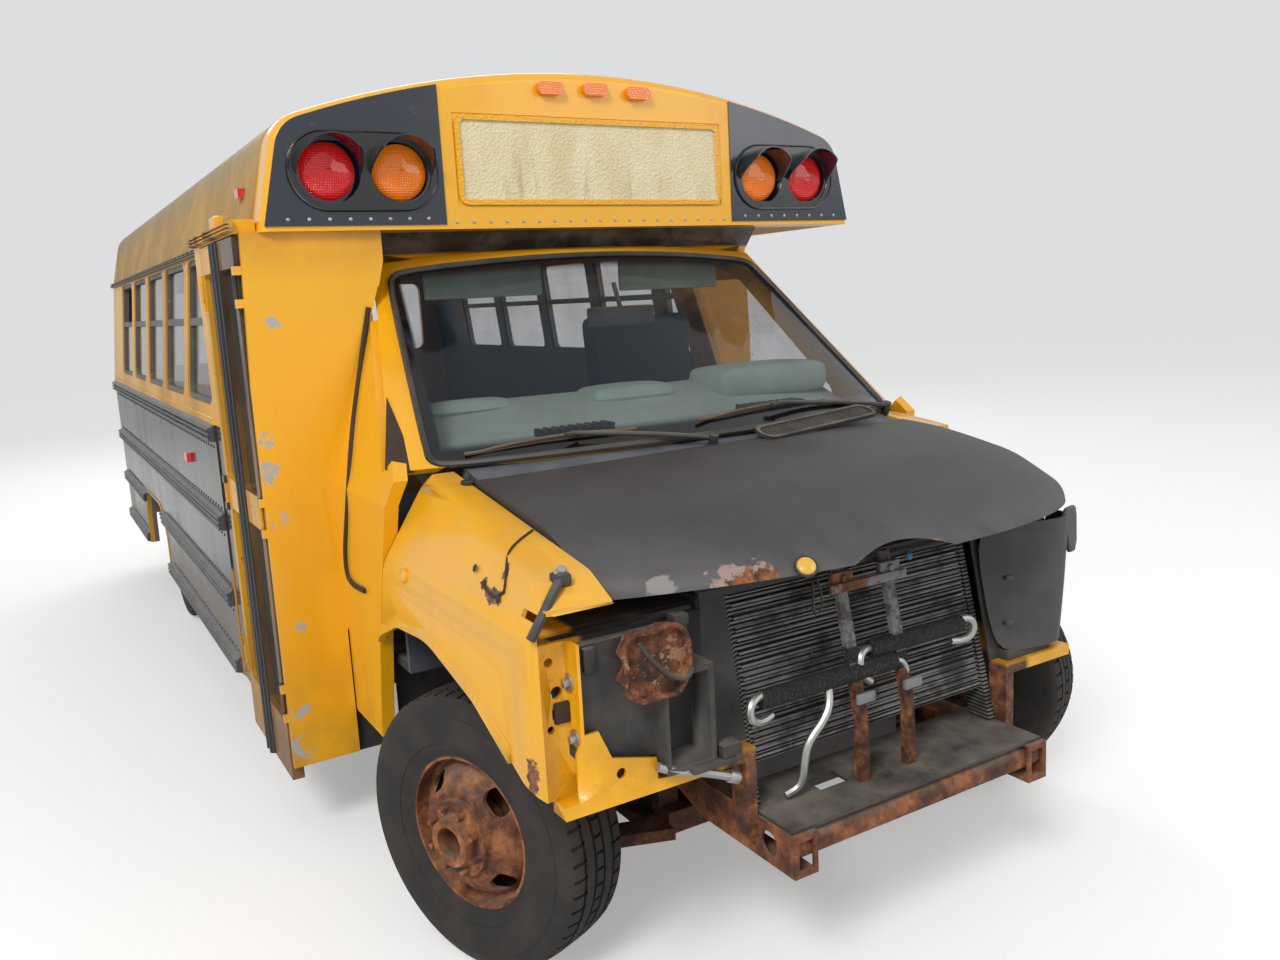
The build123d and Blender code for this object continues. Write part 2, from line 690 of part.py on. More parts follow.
def ribbedRail(z0, height, proud, half_width, y0, y1):
    """half_width gives the side's half width at a height."""
    step = height / 7
    rows = [(half_width(z0), z0)]
    for index in range(3):
        low = z0 + step * (2 * index + 0.4)
        base_x = half_width(low)
        rows += [(base_x + proud * 0.45, low), (base_x + proud, low + step * 0.4),
                 (base_x + proud, low + step * 1.2), (base_x + proud * 0.45, low + step * 1.6)]
    rows += [(half_width(z0 + height), z0 + height)]
    return alongY(rows, y0, y1)


rails = []
for low in rail_rows:
    rail = ribbedRail(low, rub_height, rub_proud, sideHalfWidth, rub_front_y + 20, body_rear_y - 10)
    if low < 720:
        rail -= archCut(skin_cut_low_x, skin_cut_high_x, 20)
    rails.append(rail)
    rails.append(mirrored(rail))
door_drip = ribbedRail(eave_z - 26, 38, drip_proud, surroundWidth, front_wall_y, door_rear_y + 120)
rails.append(mirrored(door_drip))
eave_drip = ribbedRail(eave_z - drip_height, drip_height, drip_proud, sideHalfWidth, door_rear_y + 124, body_rear_y)
rails.append(mirrored(eave_drip))
rails.append(eave_drip & block(0, skin_cut_high_x, left_wall_front_y, body_rear_y, skirt_z, eave_z))
keep("rub_rails", rails)

# Roof skin from the cap to the rear wall, with a soffit over the cab's left side
roof = roofSolid(0, eave_z, cap_rear_y, rear_inner_y)
roof -= roofSolid(roof_wall, eave_z - 5, cap_rear_y - 1, rear_inner_y + 1)
roof += block(760, eave_half_width, cap_rear_y, left_wall_front_y, cap_bottom_z, eave_z)
keep("roof", roof)

# Rear wall with its doorway and two windows
rear_door_half = 460.0
rear_door_top_z = 1930.0
rear_window_top_z = 1900.0
rear_window_outer_x = body_half_width - 210
rear_window_rows = ((-rear_window_outer_x, -560.0), (560.0, rear_window_outer_x))


def bodySection(y0, y1):
    lower = alongY([(-body_half_width, skirt_z), (-body_half_width, belt_z), (-eave_half_width, eave_z),
                    (eave_half_width, eave_z), (body_half_width, belt_z), (body_half_width, skirt_z)], y0, y1)
    return lower + roofSolid(0, eave_z, y0, y1)


rear = bodySection(rear_inner_y, body_rear_y)
rear -= block(-rail_outer_x - 12, rail_outer_x + 12, rear_inner_y - 1, body_rear_y + 1, skirt_z - 1, rail_top_z + 3)
rear -= block(-rear_door_half, rear_door_half, rear_inner_y - 1, body_rear_y + 1, floor_top_z, rear_door_top_z)
for x0, x1 in rear_window_rows:
    rear -= alongY(frameRows(x0, x1, window_bottom_z, rear_window_top_z, 60), rear_inner_y - 1, body_rear_y + 1)
rear_hinge_x = -rear_door_half + 3
rear_hinge_y = body_rear_y + 9
rear_hinge_heights = (850, 1310, 1780)
rear_knuckle_radius = 8.0
rear_knuckle_length = 80.0
for post in knuckleStack(rear_hinge_x, rear_hinge_y, rear_hinge_heights, rear_knuckle_radius, rear_knuckle_length,
                          False):
    rear += post
for z in rear_hinge_heights:
    for way in (-1, 1):
        near = z + way * (rear_knuckle_length / 2 + knuckle_gap)
        far = near + way * knuckle_fixed
        rear += block(rear_hinge_x - 80, rear_hinge_x, body_rear_y - 1, body_rear_y + 6, min(near, far),
                      max(near, far))
keep("rear_wall", rear)
for x0, x1 in rear_window_rows:
    light = insetRows(frameRows(x0, x1, window_bottom_z, rear_window_top_z, 60), glass_gap)
    saved["side_glass"] += [alongY(light, rear_inner_y + 17, rear_inner_y + 23)]

# Rear emergency door, hinged on the right
door = block(-rear_door_half + leaf_gap, rear_door_half - leaf_gap, rear_inner_y, body_rear_y, floor_top_z + leaf_gap,
             rear_door_top_z - leaf_gap)
rear_light_rows = ((860.0, 1250.0), (1400.0, 1860.0))
rear_door_panes = []
for z0, z1 in rear_light_rows:
    edge = rear_door_half - 110
    light = frameRows(-edge, edge, z0, z1, 50)
    door -= alongY(light, rear_inner_y - 1, body_rear_y + 1)
    rear_door_panes.append(alongY(insetRows(light, glass_gap), rear_inner_y + 17, rear_inner_y + 23))
handle = block(rear_door_half - 90, rear_door_half - 60, body_rear_y - 1, body_rear_y + 34, 1290, 1360)
handle += block(rear_door_half - 230, rear_door_half - 60, body_rear_y + 18, body_rear_y + 34, 1314, 1336)
for post in knuckleStack(rear_hinge_x, rear_hinge_y, rear_hinge_heights, rear_knuckle_radius, rear_knuckle_length,
                          True):
    door += post
for z in rear_hinge_heights:
    door += block(rear_hinge_x, rear_hinge_x + 90, body_rear_y - 1, body_rear_y + 6, z - rear_knuckle_length / 2,
                  z + rear_knuckle_length / 2)
keep("rear_door", door + handle)
keep("rear_door_glass", rear_door_panes)


# Front cap: crowned box with lamp recesses and a shallow sign recess
lamp_rows = ((body_half_width - 517, "amber"), (body_half_width - 290, "red"))
lamp_z = 2133.0
lamp_radius = 89.0
sign_half = body_half_width - 700
sign_low_z = 2028.0
sign_high_z = 2320.0
panel_inner_x = body_half_width - 655
panel_skin = 4.0

cap = roofSolid(0, cap_bottom_z, cap_front_y, cap_rear_y)
front_edges = [e for e in cap.edges() if abs(e.center().Y - cap_front_y) < 1 and e.center().Z > cap_bottom_z + 5]
cap = fillet(front_edges, 34)
cap -= roofSolid(cap_wall, cap_bottom_z + cap_wall, cap_front_y + cap_wall, cap_rear_y + 1)
cap -= block(-sign_half, sign_half, cap_front_y - 1, cap_front_y + panel_skin, sign_low_z, sign_high_z)


def podFace(grow, y0, y1):
    low = lamp_z - lamp_radius - grow
    high = lamp_z + lamp_radius + grow
    x0 = lamp_rows[0][0] - lamp_radius - grow
    x1 = lamp_rows[1][0] + lamp_radius + grow
    r = lamp_radius + grow - 1
    return alongY([(x0, low, r), (x1, low, r), (x1, high, r), (x0, high, r)], y0, y1)


sign_inset = 4.0
sign_border = 17.0
board_rows = frameRows(sign_inset - sign_half, sign_half - sign_inset, sign_low_z + sign_inset,
                       sign_high_z - sign_inset, 34)
board_back_y = cap_front_y + panel_skin - 0.3
board = alongY(board_rows, board_back_y - 3, board_back_y)
border = alongY(board_rows, board_back_y - 11, board_back_y)
border -= alongY(insetRows(board_rows, sign_border), board_back_y - 12, board_back_y + 1)
keep("sign_board", board + border)

recess = podFace(14, cap_front_y - 1, cap_front_y + cap_wall - 8)
cap -= recess
cap -= mirrored(recess)
keep("front_cap", cap)

# Black lamp panels: a thin plate on each side of the cap, its pod cup and the hoods over the lamps
visor_reach = 96.0
visor_skin = 4.0


def visor(x):
    tube = rodY(x, cap_front_y - visor_reach, cap_front_y + 4, lamp_z, lamp_radius + 12)
    tube -= rodY(x, cap_front_y - visor_reach - 1, cap_front_y + 5, lamp_z, lamp_radius + 12 - visor_skin)
    keep_zone = alongX([(cap_front_y + 5, lamp_z - 20), (cap_front_y + 5, lamp_z + 140),
                        (cap_front_y - visor_reach - 2, lamp_z + 140),
                        (cap_front_y - visor_reach - 2, lamp_z + 62)], x - 150, x + 150)
    return tube & keep_zone


def lampPanel():
    face = roofSolid(16, cap_bottom_z + 14, cap_front_y - panel_skin, cap_front_y)
    plate_part = face & block(panel_inner_x, body_half_width, 0, cap_rear_y, cap_bottom_z - 50, crown_z + 50)
    plate_part -= podFace(0, cap_front_y - 20, cap_front_y + 20)
    cup = podFace(12, cap_front_y, cap_front_y + cap_wall - 10) - podFace(6, cap_front_y - 1, cap_front_y
                                                                         + cap_wall - 14)
    both = plate_part + cup
    for x, _ in lamp_rows:
        both += visor(x)
    return both


keep("lamp_panels", bothSides(lampPanel()))


def lens(x, y_back, facing):
    """A shallow domed lens with its base at y_back; facing is -1 at the front and 1 at the rear."""
    r = lamp_radius - 3
    rows = ((0, 0, 0), (r, 0, 0), (r, 12, 8), (r * 0.78, 28, 40), (0, 38, 0))
    points = [(out, facing * reach, 0, corner) for out, reach, corner in rows]
    return Pos(x, y_back, lamp_z) * revolve(outline(points), axis=Axis.Y)


lamps = {"amber": [], "red": []}
lens_back_front = cap_front_y + cap_wall - 14 - 0.3
for x, colour in lamp_rows:
    lamps[colour] += bothSides(lens(x, lens_back_front, -1))
    lamps[colour] += bothSides(lens(x, body_rear_y + 0.3, 1))


# Clearance and marker lamps
def pillLamp(x, y0, y1, z, length, height):
    r = height / 2 - 1
    return alongY([(x - length / 2, z - height / 2, r), (x + length / 2, z - height / 2, r),
                   (x + length / 2, z + height / 2, r), (x - length / 2, z + height / 2, r)], y0, y1)


clearance_pitch = 170.0
clearance_z = 2412.0
for index in (-1, 0, 1):
    lamps["amber"].append(pillLamp(index * clearance_pitch, cap_front_y - 24, cap_front_y - 0.3,
                                   clearance_z - abs(index) * 5, 96, 40))
    lamps["red"].append(pillLamp(index * clearance_pitch, body_rear_y + 0.3, body_rear_y + 24, 2360, 96, 40))
for side in (-1, 1):
    x = side * body_half_width
    lamps["red"].append(block(min(x, x + side * 18), max(x, x + side * 18), 2300, 2370, 1120, 1160))
    marker = block(min(side * 1080, side * 1142), max(side * 1080, side * 1142), 1102, 1158, 2084, 2112)
    lamps["red"].append(marker - roofSolid(-0.3, eave_z, 1000, 1300))
    tail_x = side * (body_half_width - 200)
    lamps["red"].append(rodY(tail_x, body_rear_y + 0.3, body_rear_y + 24, 1150, 88))
    lamps["amber"].append(rodY(tail_x, body_rear_y + 0.3, body_rear_y + 24, 930, 60))
keep("amber_lamps", lamps["amber"])
keep("red_lamps", lamps["red"])


# Windscreen: a ruled sheet between two arcs, cut to a rounded outline, in a surround of the same form
def arcRadius(half, sag):
    return (half ** 2 + sag ** 2) / (2 * sag)


def arcPoint(mid, corner, half):
    """The point at another half width on the arc that runs through mid and both corners."""
    deep = corner[1] - mid[1]
    fall = corner[2] - mid[2]
    sag = hypot(deep, fall)
    radius = arcRadius(corner[0], sag)
    share = (radius - sqrt(radius ** 2 - half ** 2)) / sag
    return Vector(half, mid[1] + deep * share, mid[2] + fall * share)


def screenSheet(base_half, top_half, rise, thick):
    """Positive thickness lies outside the screen's face, negative inside; rise lengthens it upwards."""
    base_mid = Vector(*ws_base_mid)
    top_mid = Vector(*ws_top_mid)
    base = arcPoint(ws_base_mid, ws_base_corner, base_half)
    top = arcPoint(ws_top_mid, ws_top_corner, top_half)
    top += (top - base).normalized() * rise
    top_mid += (top_mid - base_mid).normalized() * rise
    low_arc = ThreePointArc((-base.X, base.Y, base.Z), base_mid, base)
    high_arc = ThreePointArc((-top.X, top.Y, top.Z), top_mid, top)
    face = Face.make_surface_from_curves(low_arc.edges()[0], high_arc.edges()[0])
    return Solid.thicken(face, thick)


screen_plane = Plane(origin=ws_base_mid, x_dir=(1, 0, 0),
                     z_dir=(0, ws_base_mid[2] - ws_top_mid[2], ws_top_mid[1] - ws_base_mid[1]))
screen_corner_radius = 70.0
surround_base_half = 955.0
surround_top_half = 775.0
surround_rise = 60.0
surround_thick = 20.0


def screenOutline(grow):
    """A prism with the screen's outline, square to its middle line."""
    local = [screen_plane.to_local_coords(Vector(*point)) for point in (ws_base_corner, ws_top_corner, ws_base_mid,
                                                                        ws_top_mid)]
    low, high, low_mid, high_mid = [(point.X, point.Y) for point in local]
    edges = ThreePointArc((-low[0], low[1]), low_mid, low) + Line(low, high)
    edges += ThreePointArc(high, high_mid, (-high[0], high[1])) + Line((-high[0], high[1]), (-low[0], low[1]))
    face = make_face(edges)
    face = fillet(face.vertices(), screen_corner_radius)
    if grow > 0:
        face = offset(face, grow)
    return extrude(screen_plane * face, amount=400, both=True)


keep("windshield", screenSheet(ws_base_corner[0] + 11, ws_top_corner[0] + 9, 12, -ws_thick) & screenOutline(0))


# Cab shell: side skins above the sills, windscreen pillars, header and roof
def cabSkin(side_rows, x_out, inset, y0, y1):
    """A cab side that stands upright to the shoulder and leans in above it."""
    rows = [(x_out - inset, 300), (x_out - inset, cab_shoulder_z),
            (cab_roof_half_width - inset, cab_roof_z), (cab_roof_half_width - inset - cab_skin, cab_roof_z),
            (x_out - inset - cab_skin, cab_shoulder_z), (x_out - inset - cab_skin, 300)]
    skin = alongY(rows, y0, y1)
    return skin & alongX(side_rows, 600, 1100)


def cabSideWidth(z):
    if z < cab_shoulder_z:
        return cab_half_width
    share = (z - cab_shoulder_z) / (cab_roof_z - cab_shoulder_z)
    return cab_half_width + (cab_roof_half_width - cab_half_width) * share


pillar_foot_z = ws_base_corner[2] - 20
pillar_rows = [(306, pillar_foot_z), (931, cab_roof_z), (1041, cab_roof_z), (406, pillar_foot_z)]
hinge_front_rows = [(575, 430), (560, 520), (504, 757), (306, pillar_foot_z)]
hinge_rear_rows = [(420, pillar_foot_z), (600, 760), (650, 430)]
hinge_pillar = hinge_front_rows + hinge_rear_rows


def pillarUnderside(y):
    return pillar_foot_z + (y - 406) * (cab_roof_z - pillar_foot_z) / (1041 - 406)


door_hinge_x = cab_half_width + 12
door_hinge_y = 424.0
door_hinge_heights = (1000, 1130)
door_knuckle_radius = 7.0
door_knuckle_length = 50.0
left_side = cabSkin(pillar_rows, cab_half_width, 0, 200, 1300)
left_side += cabSkin(hinge_pillar, cab_half_width, 0, 200, 1300)
b_pillar = [(driver_door_rear_y + 8, 430), (left_wall_front_y - front_wall_thick, 430),
            (left_wall_front_y - front_wall_thick, cab_roof_z), (driver_door_rear_y + 8, cab_roof_z)]
left_side += cabSkin(b_pillar, cab_half_width, 0, 200, 1700)
cantrail = [(ws_top_corner[1] - 20, cab_roof_z - 30), (left_wall_front_y - front_wall_thick, cab_roof_z - 30),
            (left_wall_front_y - front_wall_thick, cab_roof_z), (ws_top_corner[1] - 20, cab_roof_z)]
left_side += cabSkin(cantrail, cab_half_width, 0, 200, 1700)
rocker = [(650, 430), (left_wall_front_y - front_wall_thick, 430),
          (left_wall_front_y - front_wall_thick, 492), (640, 492)]
left_side += cabSkin(rocker, cab_half_width, 0, 200, 1700)
header_rear_y = 1010.0
cab_roof = block(-cab_roof_half_width, cab_roof_half_width, 905, left_wall_front_y - front_wall_thick,
                 cab_roof_z, cap_bottom_z - 0.3)
cab_roof -= block(-cab_roof_half_width + 40, cab_roof_half_width - 40, header_rear_y, left_wall_front_y + 10,
                  cab_roof_z - 1, cap_bottom_z - 30)
right_side = mirrored(cabSkin(pillar_rows, cab_half_width, 0, 200, 1300))
right_side += mirrored(cabSkin(hinge_pillar, cab_half_width, 0, 200, 1300))
surround = screenSheet(surround_base_half, surround_top_half, surround_rise, -surround_thick)
surround -= screenOutline(glass_gap)
seat_base_half = surround_base_half + 30
seat_top_half = surround_top_half + 30
seat_rise = surround_rise + 30
cab = left_side + cab_roof + right_side - screenSheet(seat_base_half, seat_top_half, seat_rise, 300)
for drop in (0, 1):
    seat_cut = screenSheet(seat_base_half, seat_top_half, seat_rise, -surround_thick - glass_gap)
    cab -= Pos(0, 0, -drop) * seat_cut
for z in door_hinge_heights:
    for way in (-1, 1):
        near = z + way * (door_knuckle_length / 2 + knuckle_gap)
        far = near + way * knuckle_fixed
        cab += block(cab_half_width - 1, door_hinge_x, door_hinge_y, door_hinge_y + 12, min(near, far), max(near, far))
for post in knuckleStack(door_hinge_x, door_hinge_y, door_hinge_heights, door_knuckle_radius, door_knuckle_length,
                          False):
    cab += post
keep("cab_shell", cab, surround)


# Cowl: firewall, shelf and a curved trim between the hood's rear edge and the windscreen
hood_edge_gap = 8.0
hood_edge_radius = arcRadius(hood_half_width, hood_rear_y - hood_rear_mid_y)
hood_edge_centre_y = hood_rear_mid_y + hood_edge_radius
screen_radius = arcRadius(ws_base_corner[0], ws_base_corner[1] - ws_base_mid[1])
screen_centre_y = ws_base_mid[1] + screen_radius
trim_half_width = 776.0
trim_low_z = 1190.0
trim_tilt = 13.5
trim_crown_radius = 3897.0
trim_crown_z = 1274.0


def trimBody(drop):
    """Between the hood's rear edge and a line just behind the foot of the windscreen."""
    front = hood_edge_centre_y + hood_edge_gap + drop
    wide = block(-trim_half_width + drop, trim_half_width - drop, -100, 450, trim_low_z, 1350)
    zone = wide & rodZ(0, front, trim_low_z, 1350, hood_edge_radius)
    zone -= rodZ(0, screen_centre_y + 40, 1100, 1400, screen_radius)
    drum = Pos(0, 0, trim_crown_z - drop) * Rot(trim_tilt, 0, 0) * rodY(0, -400, 700, -trim_crown_radius,
                                                                      trim_crown_radius)
    return zone & drum


firewall_half_width = 940.0
cowl = trimBody(0) - trimBody(8)
cowl -= screenSheet(surround_base_half + 1, surround_top_half + 1, 0, -surround_thick - glass_gap)
shelf = block(-trim_half_width, trim_half_width, 0, firewall_y + 20, trim_low_z, trim_low_z + 8)
cowl += shelf & rodZ(0, hood_edge_centre_y + hood_edge_gap, 1100, 1300, hood_edge_radius)
cowl += block(-firewall_half_width, firewall_half_width, firewall_y, firewall_y + 20, floor_low_z, trim_low_z + 8)
hinge_pin_radius = 6.0
hinge_pin_gap = 0.1
arm_inner_x = hood_half_width - 16
for side in (-1, 1):
    cowl += block(min(side * 764, side * 776), max(side * 764, side * 776), 235, 300, trim_low_z - 12, 1216)
    cowl += rodX(side * 770, side * (hood_half_width + 1), hood_hinge[0], hood_hinge[1], hinge_pin_radius)
keep("cowl", cowl)

dash_front_y = firewall_y + 20.3
keep("dashboard", alongX([(dash_front_y, 950), (dash_front_y, 1200, 20), (560, 1235, 30), (820, 1180, 60), (860, 1090, 30),
                          (800, 950, 30)], -840, 860))

seat = block(280, 760, 1080, 1530, 870, 1000)
seat = fillet(seat.edges().filter_by(Axis.X), 40)
back = alongX([(1470, 980), (1560, 1620, 40), (1450, 1640, 40), (1370, 980)], 290, 750)
post = block(330, 710, 1120, 1500, floor_top_z, 872)
keep("driver_seat", seat + back + post)

wheel_centre = (520.0, 905.0, 1160.0)
steering_plane = Plane(origin=wheel_centre, z_dir=(0, 0.87, 0.49))
rim = steering_plane * Torus(190, 15)
spokes = steering_plane * (Box(370, 34, 16) + Cylinder(50, 40))
column = rodBetween((520, 846.6, 1127.4), wheel_centre, 30)
keep("steering_wheel", rim + spokes + column)


# Driver's door on the left, its window cut through
door_top_z = cab_roof_z - 36
driver_door_rows = [(428, 1262), (428 + (door_top_z - 1262) * 1.0325, door_top_z), (driver_door_rear_y, door_top_z),
                    (driver_door_rear_y, 500), (654, 500), (608, 762), (430, 1246)]


door_skin = cabSkin(driver_door_rows, cab_half_width, 0, 200, 1700)
window_hole = [(640, 1270, 40), (1420, 1270, 40), (1420, 1760, 40), (1070, 1760, 40)]
door_skin -= alongX(window_hole, 600, 1100)
strap_x = door_hinge_x - door_knuckle_radius
for z in door_hinge_heights:
    door_skin += block(strap_x, strap_x + 6, door_hinge_y, 560, z - door_knuckle_length / 2,
                       z + door_knuckle_length / 2)
    door_skin += block(cab_half_width - 1, strap_x + 1, 532, 560, z - door_knuckle_length / 2,
                       z + door_knuckle_length / 2)
for post in knuckleStack(door_hinge_x, door_hinge_y, door_hinge_heights, door_knuckle_radius, door_knuckle_length,
                          True):
    door_skin += post
keep("driver_door", door_skin)
pane_zone = alongX(insetRows(window_hole, glass_gap), 600, 1100)
pane_skin = alongY([(cabSideWidth(1250) - 23, 1250), (cabSideWidth(1790) - 23, 1790),
                    (cabSideWidth(1790) - 17, 1790), (cabSideWidth(1250) - 17, 1250)], 200, 1700)
keep("driver_door_glass", pane_skin & pane_zone)


# Transition panels between the cab and the wide body
right_wall_rows = [(-door_surround_x, 284), (-door_surround_x, 1500), (15 - door_surround_x, cap_bottom_z),
                   (-776, cap_bottom_z), (-776, cab_roof_z), (-960, 1180), (-960, 797), (-1004, 700), (-1004, 286)]
front_wall = alongY(right_wall_rows, front_wall_y, front_wall_y + front_wall_thick)
front_wall -= mirrored(cabSkin(pillar_rows, cab_half_width, 0, 200, 1300))
filler_rows = [(406, pillar_foot_z), (front_wall_y, pillarUnderside(front_wall_y)), (front_wall_y, 430)]
filler_rows += list(reversed(hinge_rear_rows))
filler = mirrored(cabSkin(filler_rows, cab_half_width, 0, 200, front_wall_y))
filler -= screenSheet(surround_base_half + 1, surround_top_half + 1, surround_rise, -surround_thick - glass_gap)
left_wall_rows = [(door_surround_x, 284), (door_surround_x, 1500), (door_surround_x - 15, cap_bottom_z - 0.3),
                  (776, cap_bottom_z - 0.3), (776, cab_roof_z), (960, 1180), (960, 300)]
left_front = alongY(left_wall_rows, left_wall_front_y - front_wall_thick, left_wall_front_y)
front_panel = front_wall + filler
for post in fixedKnuckles(door_front_y, 1):
    front_panel += post
keep("transition_panels", front_panel, left_front)


# Hood: a turned form with a rounded nose, cut to width and bowed forward at the rear, hollowed below
nose_radius = arcRadius(hood_half_width, -467.0 - nose_mid_y)
nose_centre_y = nose_mid_y + nose_radius


def hoodForm(inset):
    rows = ((150, 1317 - inset, 0), (888, 1241 - inset, 700), (1093 - 0.4 * inset, 1178 - inset, 250),
            (nose_radius - inset, 1091 - 0.6 * inset, 70), (nose_radius - inset, 900, 0), (150, 900, 0))
    points = [(out, nose_centre_y, z, corner) for out, z, corner in rows]
    turned = revolve(outline(points), axis=Axis((0, nose_centre_y, 0), (0, 0, 1)))
    return turned & block(-hood_half_width + inset, hood_half_width - inset, -900, hood_rear_y, 800, 1400)


hood_lip_z = 1100.0
hood_shell = hoodForm(0) - hoodForm(14)
hood_shell -= alongX([(200, 860), (200, 1190), (-470, 1056), (-800, 1104), (-800, 860)], -900, 900)
hood_shell -= rodZ(0, hood_edge_centre_y, 800, 1400, hood_edge_radius)
dent_x = -112.0
dent_half = 132.0
dent_rise = 24.0
dent_radius = (dent_half ** 2 + dent_rise ** 2) / (2 * dent_rise)
hood_shell -= rodY(dent_x, -800, nose_mid_y + 90, hood_lip_z + dent_rise - dent_radius, dent_radius)
arm_rows = [(30, 1186), (30, 1222), (170, 1222), (262, 1208), (262, 1184), (170, 1190)]
arm = alongX(arm_rows, arm_inner_x, hood_half_width) + rodX(arm_inner_x, hood_half_width, hood_hinge[0],
                                                           hood_hinge[1], 14)
arm -= rodX(arm_inner_x - 1, hood_half_width + 1, hood_hinge[0], hood_hinge[1], hinge_pin_radius + hinge_pin_gap)
hood_shell = hood_shell + arm + mirrored(arm)
keep("hood", hood_shell)


# Fenders: the same way, with the wheel arch cut out of a hollow skin
fender_arch_rows = [(620, 300), (575, 520, 40), (500, 770, 120), (300, 850, 160), (60, 872, 400),
                    (-240, 806, 300), (-620, 640)]


fender_skin = 14.0


def fenderForm(shrink, low):
    rear = 60 if shrink else 0
    side_view = [(500 + rear, low), (500 + rear, 757), (302 + rear, 1250), (302 + rear, 1258 - shrink),
                 (-480, 1134 - shrink, 120), (-588 + shrink, 1080 - shrink, 40), (-596 + shrink, low)]
    body = alongX(side_view, 700, cab_half_width - shrink)
    front_view = alongY([(700, 500), (cab_half_width - shrink, 500), (cab_half_width - shrink, 1010, 140),
                         (878, 1272 - shrink, 120), (700, 1290 - shrink)], -700, 600)
    plan = alongZ([(700, -610), (900, -600 + shrink, 60), (cab_half_width - shrink, -560 + shrink, 120),
                   (cab_half_width - shrink, 600), (700, 600)], 400, 1400)
    return body & front_view & plan


fender = fenderForm(0, 640) - alongX(fender_arch_rows + [(-700, 300)], 600, 1100)
fender -= fenderForm(fender_skin, 500)
fender -= block(690, hood_half_width + 6, -800, 700, 400, 1400)
fender -= block(690, 975, -700, -480, 400, 1080)


def archForm(grow, x0, x1):
    flat = [(row[0], row[1], 0, row[2] if len(row) > 2 else 0) for row in fender_arch_rows + [(-700, 300)]]
    face = outline(flat)
    if grow:
        face = offset(face, grow)
    side_plane = Plane(origin=(x0, 0, 0), x_dir=(0, 1, 0), z_dir=(1, 0, 0))
    return extrude(side_plane * face, amount=x1 - x0)


arch_lip_width = 34.0
arch_lip_proud = 9.0
arch_lip = archForm(arch_lip_width, cab_half_width - 14, cab_half_width + arch_lip_proud)
arch_lip -= archForm(0, cab_half_width - 15, cab_half_width + arch_lip_proud + 1)
fender += arch_lip & alongX([(-430, 665), (494, 665), (494, 757), (330, 1165), (-430, 1165)], 900, 1100)
keep("fenders", bothSides(fender))

# Front structure: tie bars, side panels and inner fender walls that carry the fenders
inner_fender_x = 545.0
tie_low_z = 620.0
tie_high_z = 650.0
flange_hole_rows = ((934, 960, 10), (920, 890, 14), (938, 810, 9))
support = block(-inner_fender_x, inner_fender_x, -490, -450, 1010, 1040)
for side in (-1, 1):
    x = side * inner_fender_x
    support += block(x - 7, x + 7, -500, firewall_y, tie_low_z, 1030)
    support += block(min(x, side * 960), max(x, side * 960), -512, -500, tie_high_z - 1, 1000)
    for hole_x, hole_z, hole_radius in flange_hole_rows:
        support -= rodY(side * hole_x, -513, -499, hole_z, hole_radius)
    support += block(min(side * 884, side * 892), max(side * 884, side * 892), -560, -505, 700, 1000)
    apron = alongY([(side * 708, 640), (side * 905, 640), (side * 905, 760), (side * 884, 800), (side * 850, 800),
                    (side * 820, 730), (side * 708, 700)], -560, -552)
    support += apron - rodY(side * 800, -562, -550, 690, 12)
    support += block(min(side * rail_outer_x, side * 940), max(side * rail_outer_x, side * 940), -560, -500,
                     tie_low_z, tie_high_z)
    support += block(min(side * rail_outer_x, side * 466), max(side * rail_outer_x, side * 466), -560, -500, 430,
                     tie_low_z + 1)
    support += block(min(x, side * 966), max(x, side * 966), -470, 380, 1000, 1012)
fender_seat_x = cab_half_width - fender_skin - 0.3
for y in (-360, 280):
    lug = alongY([(955, 940), (fender_seat_x, 940), (fender_seat_x, 972), (966, 985), (966, 1001), (955, 1001)],
                 y - 20, y + 20)
    support += lug
    support += mirrored(lug)
keep("core_support", support)

# Radiator and condenser, leaning back, with their tubes and straps
lean = degrees(atan2(91, 400))
core = Box(810, 50, 450)
for index in range(14):
    core += Pos(0, -28, -200 + index * 30) * Box(780, 8, 12)
radiator = Pos(0, -424, 790) * Rot(-lean, 0, 0) * core
dam_top_z = horn_top_z + 8
for side in (-1, 1):
    post = alongX([(-530, dam_top_z), (-455, dam_top_z), (-345, 1004), (-405, 1004)], 404, 426)
    radiator += post if side > 0 else mirrored(post)
keep("radiator", radiator)
keep("air_dam", block(-430, 430, -680, -420, horn_top_z, dam_top_z) - block(-240, -150, -560, -500, 400, 600))
cooler_rows = (  # left end x, right end x, y, z
    (-405.0, 20.0, -548.0, 755.0),
    (-45.0, 275.0, -536.0, 798.0),
)
cooler = None
for x0, x1, y, z in cooler_rows:
    tube = rodX(x0, x1, y, z, 24)
    cooler = tube if cooler is None else cooler + tube
for x in (-118, 42):
    cooler += alongX([(-590, dam_top_z), (-566, dam_top_z), (-566, 640), (-490, 1012), (-490, 1034),
                      (-500, 1034), (-582, 660)], x - 16, x + 16)
keep("oil_coolers", cooler)
mount_right = block(-882, -600, -540, -512, 700, 990)
mount_right += block(-700, -568, -592, -512, 664, 900) - block(-690, -582, -593, -530, 678, 886)
mount_left = block(560, 880, -540, -512, tie_high_z + 1, 1000)
keep("headlamp_mounts", mount_right, mount_left)
baffle = alongX([(-512, tie_high_z + 0.3), (-506, tie_high_z + 0.3), (-432, 998), (-438, 998)], 426.3, inner_fender_x - 7.3)
keep("side_baffles", *bothSides(baffle))
keep("mud_flaps", *bothSides(block(700, 930, 618, 626, 300, floor_low_z)),
     *bothSides(block(660, skin_inner_x - 45, axle_rear_y + 490, axle_rear_y + 500, 180, floor_low_z)))


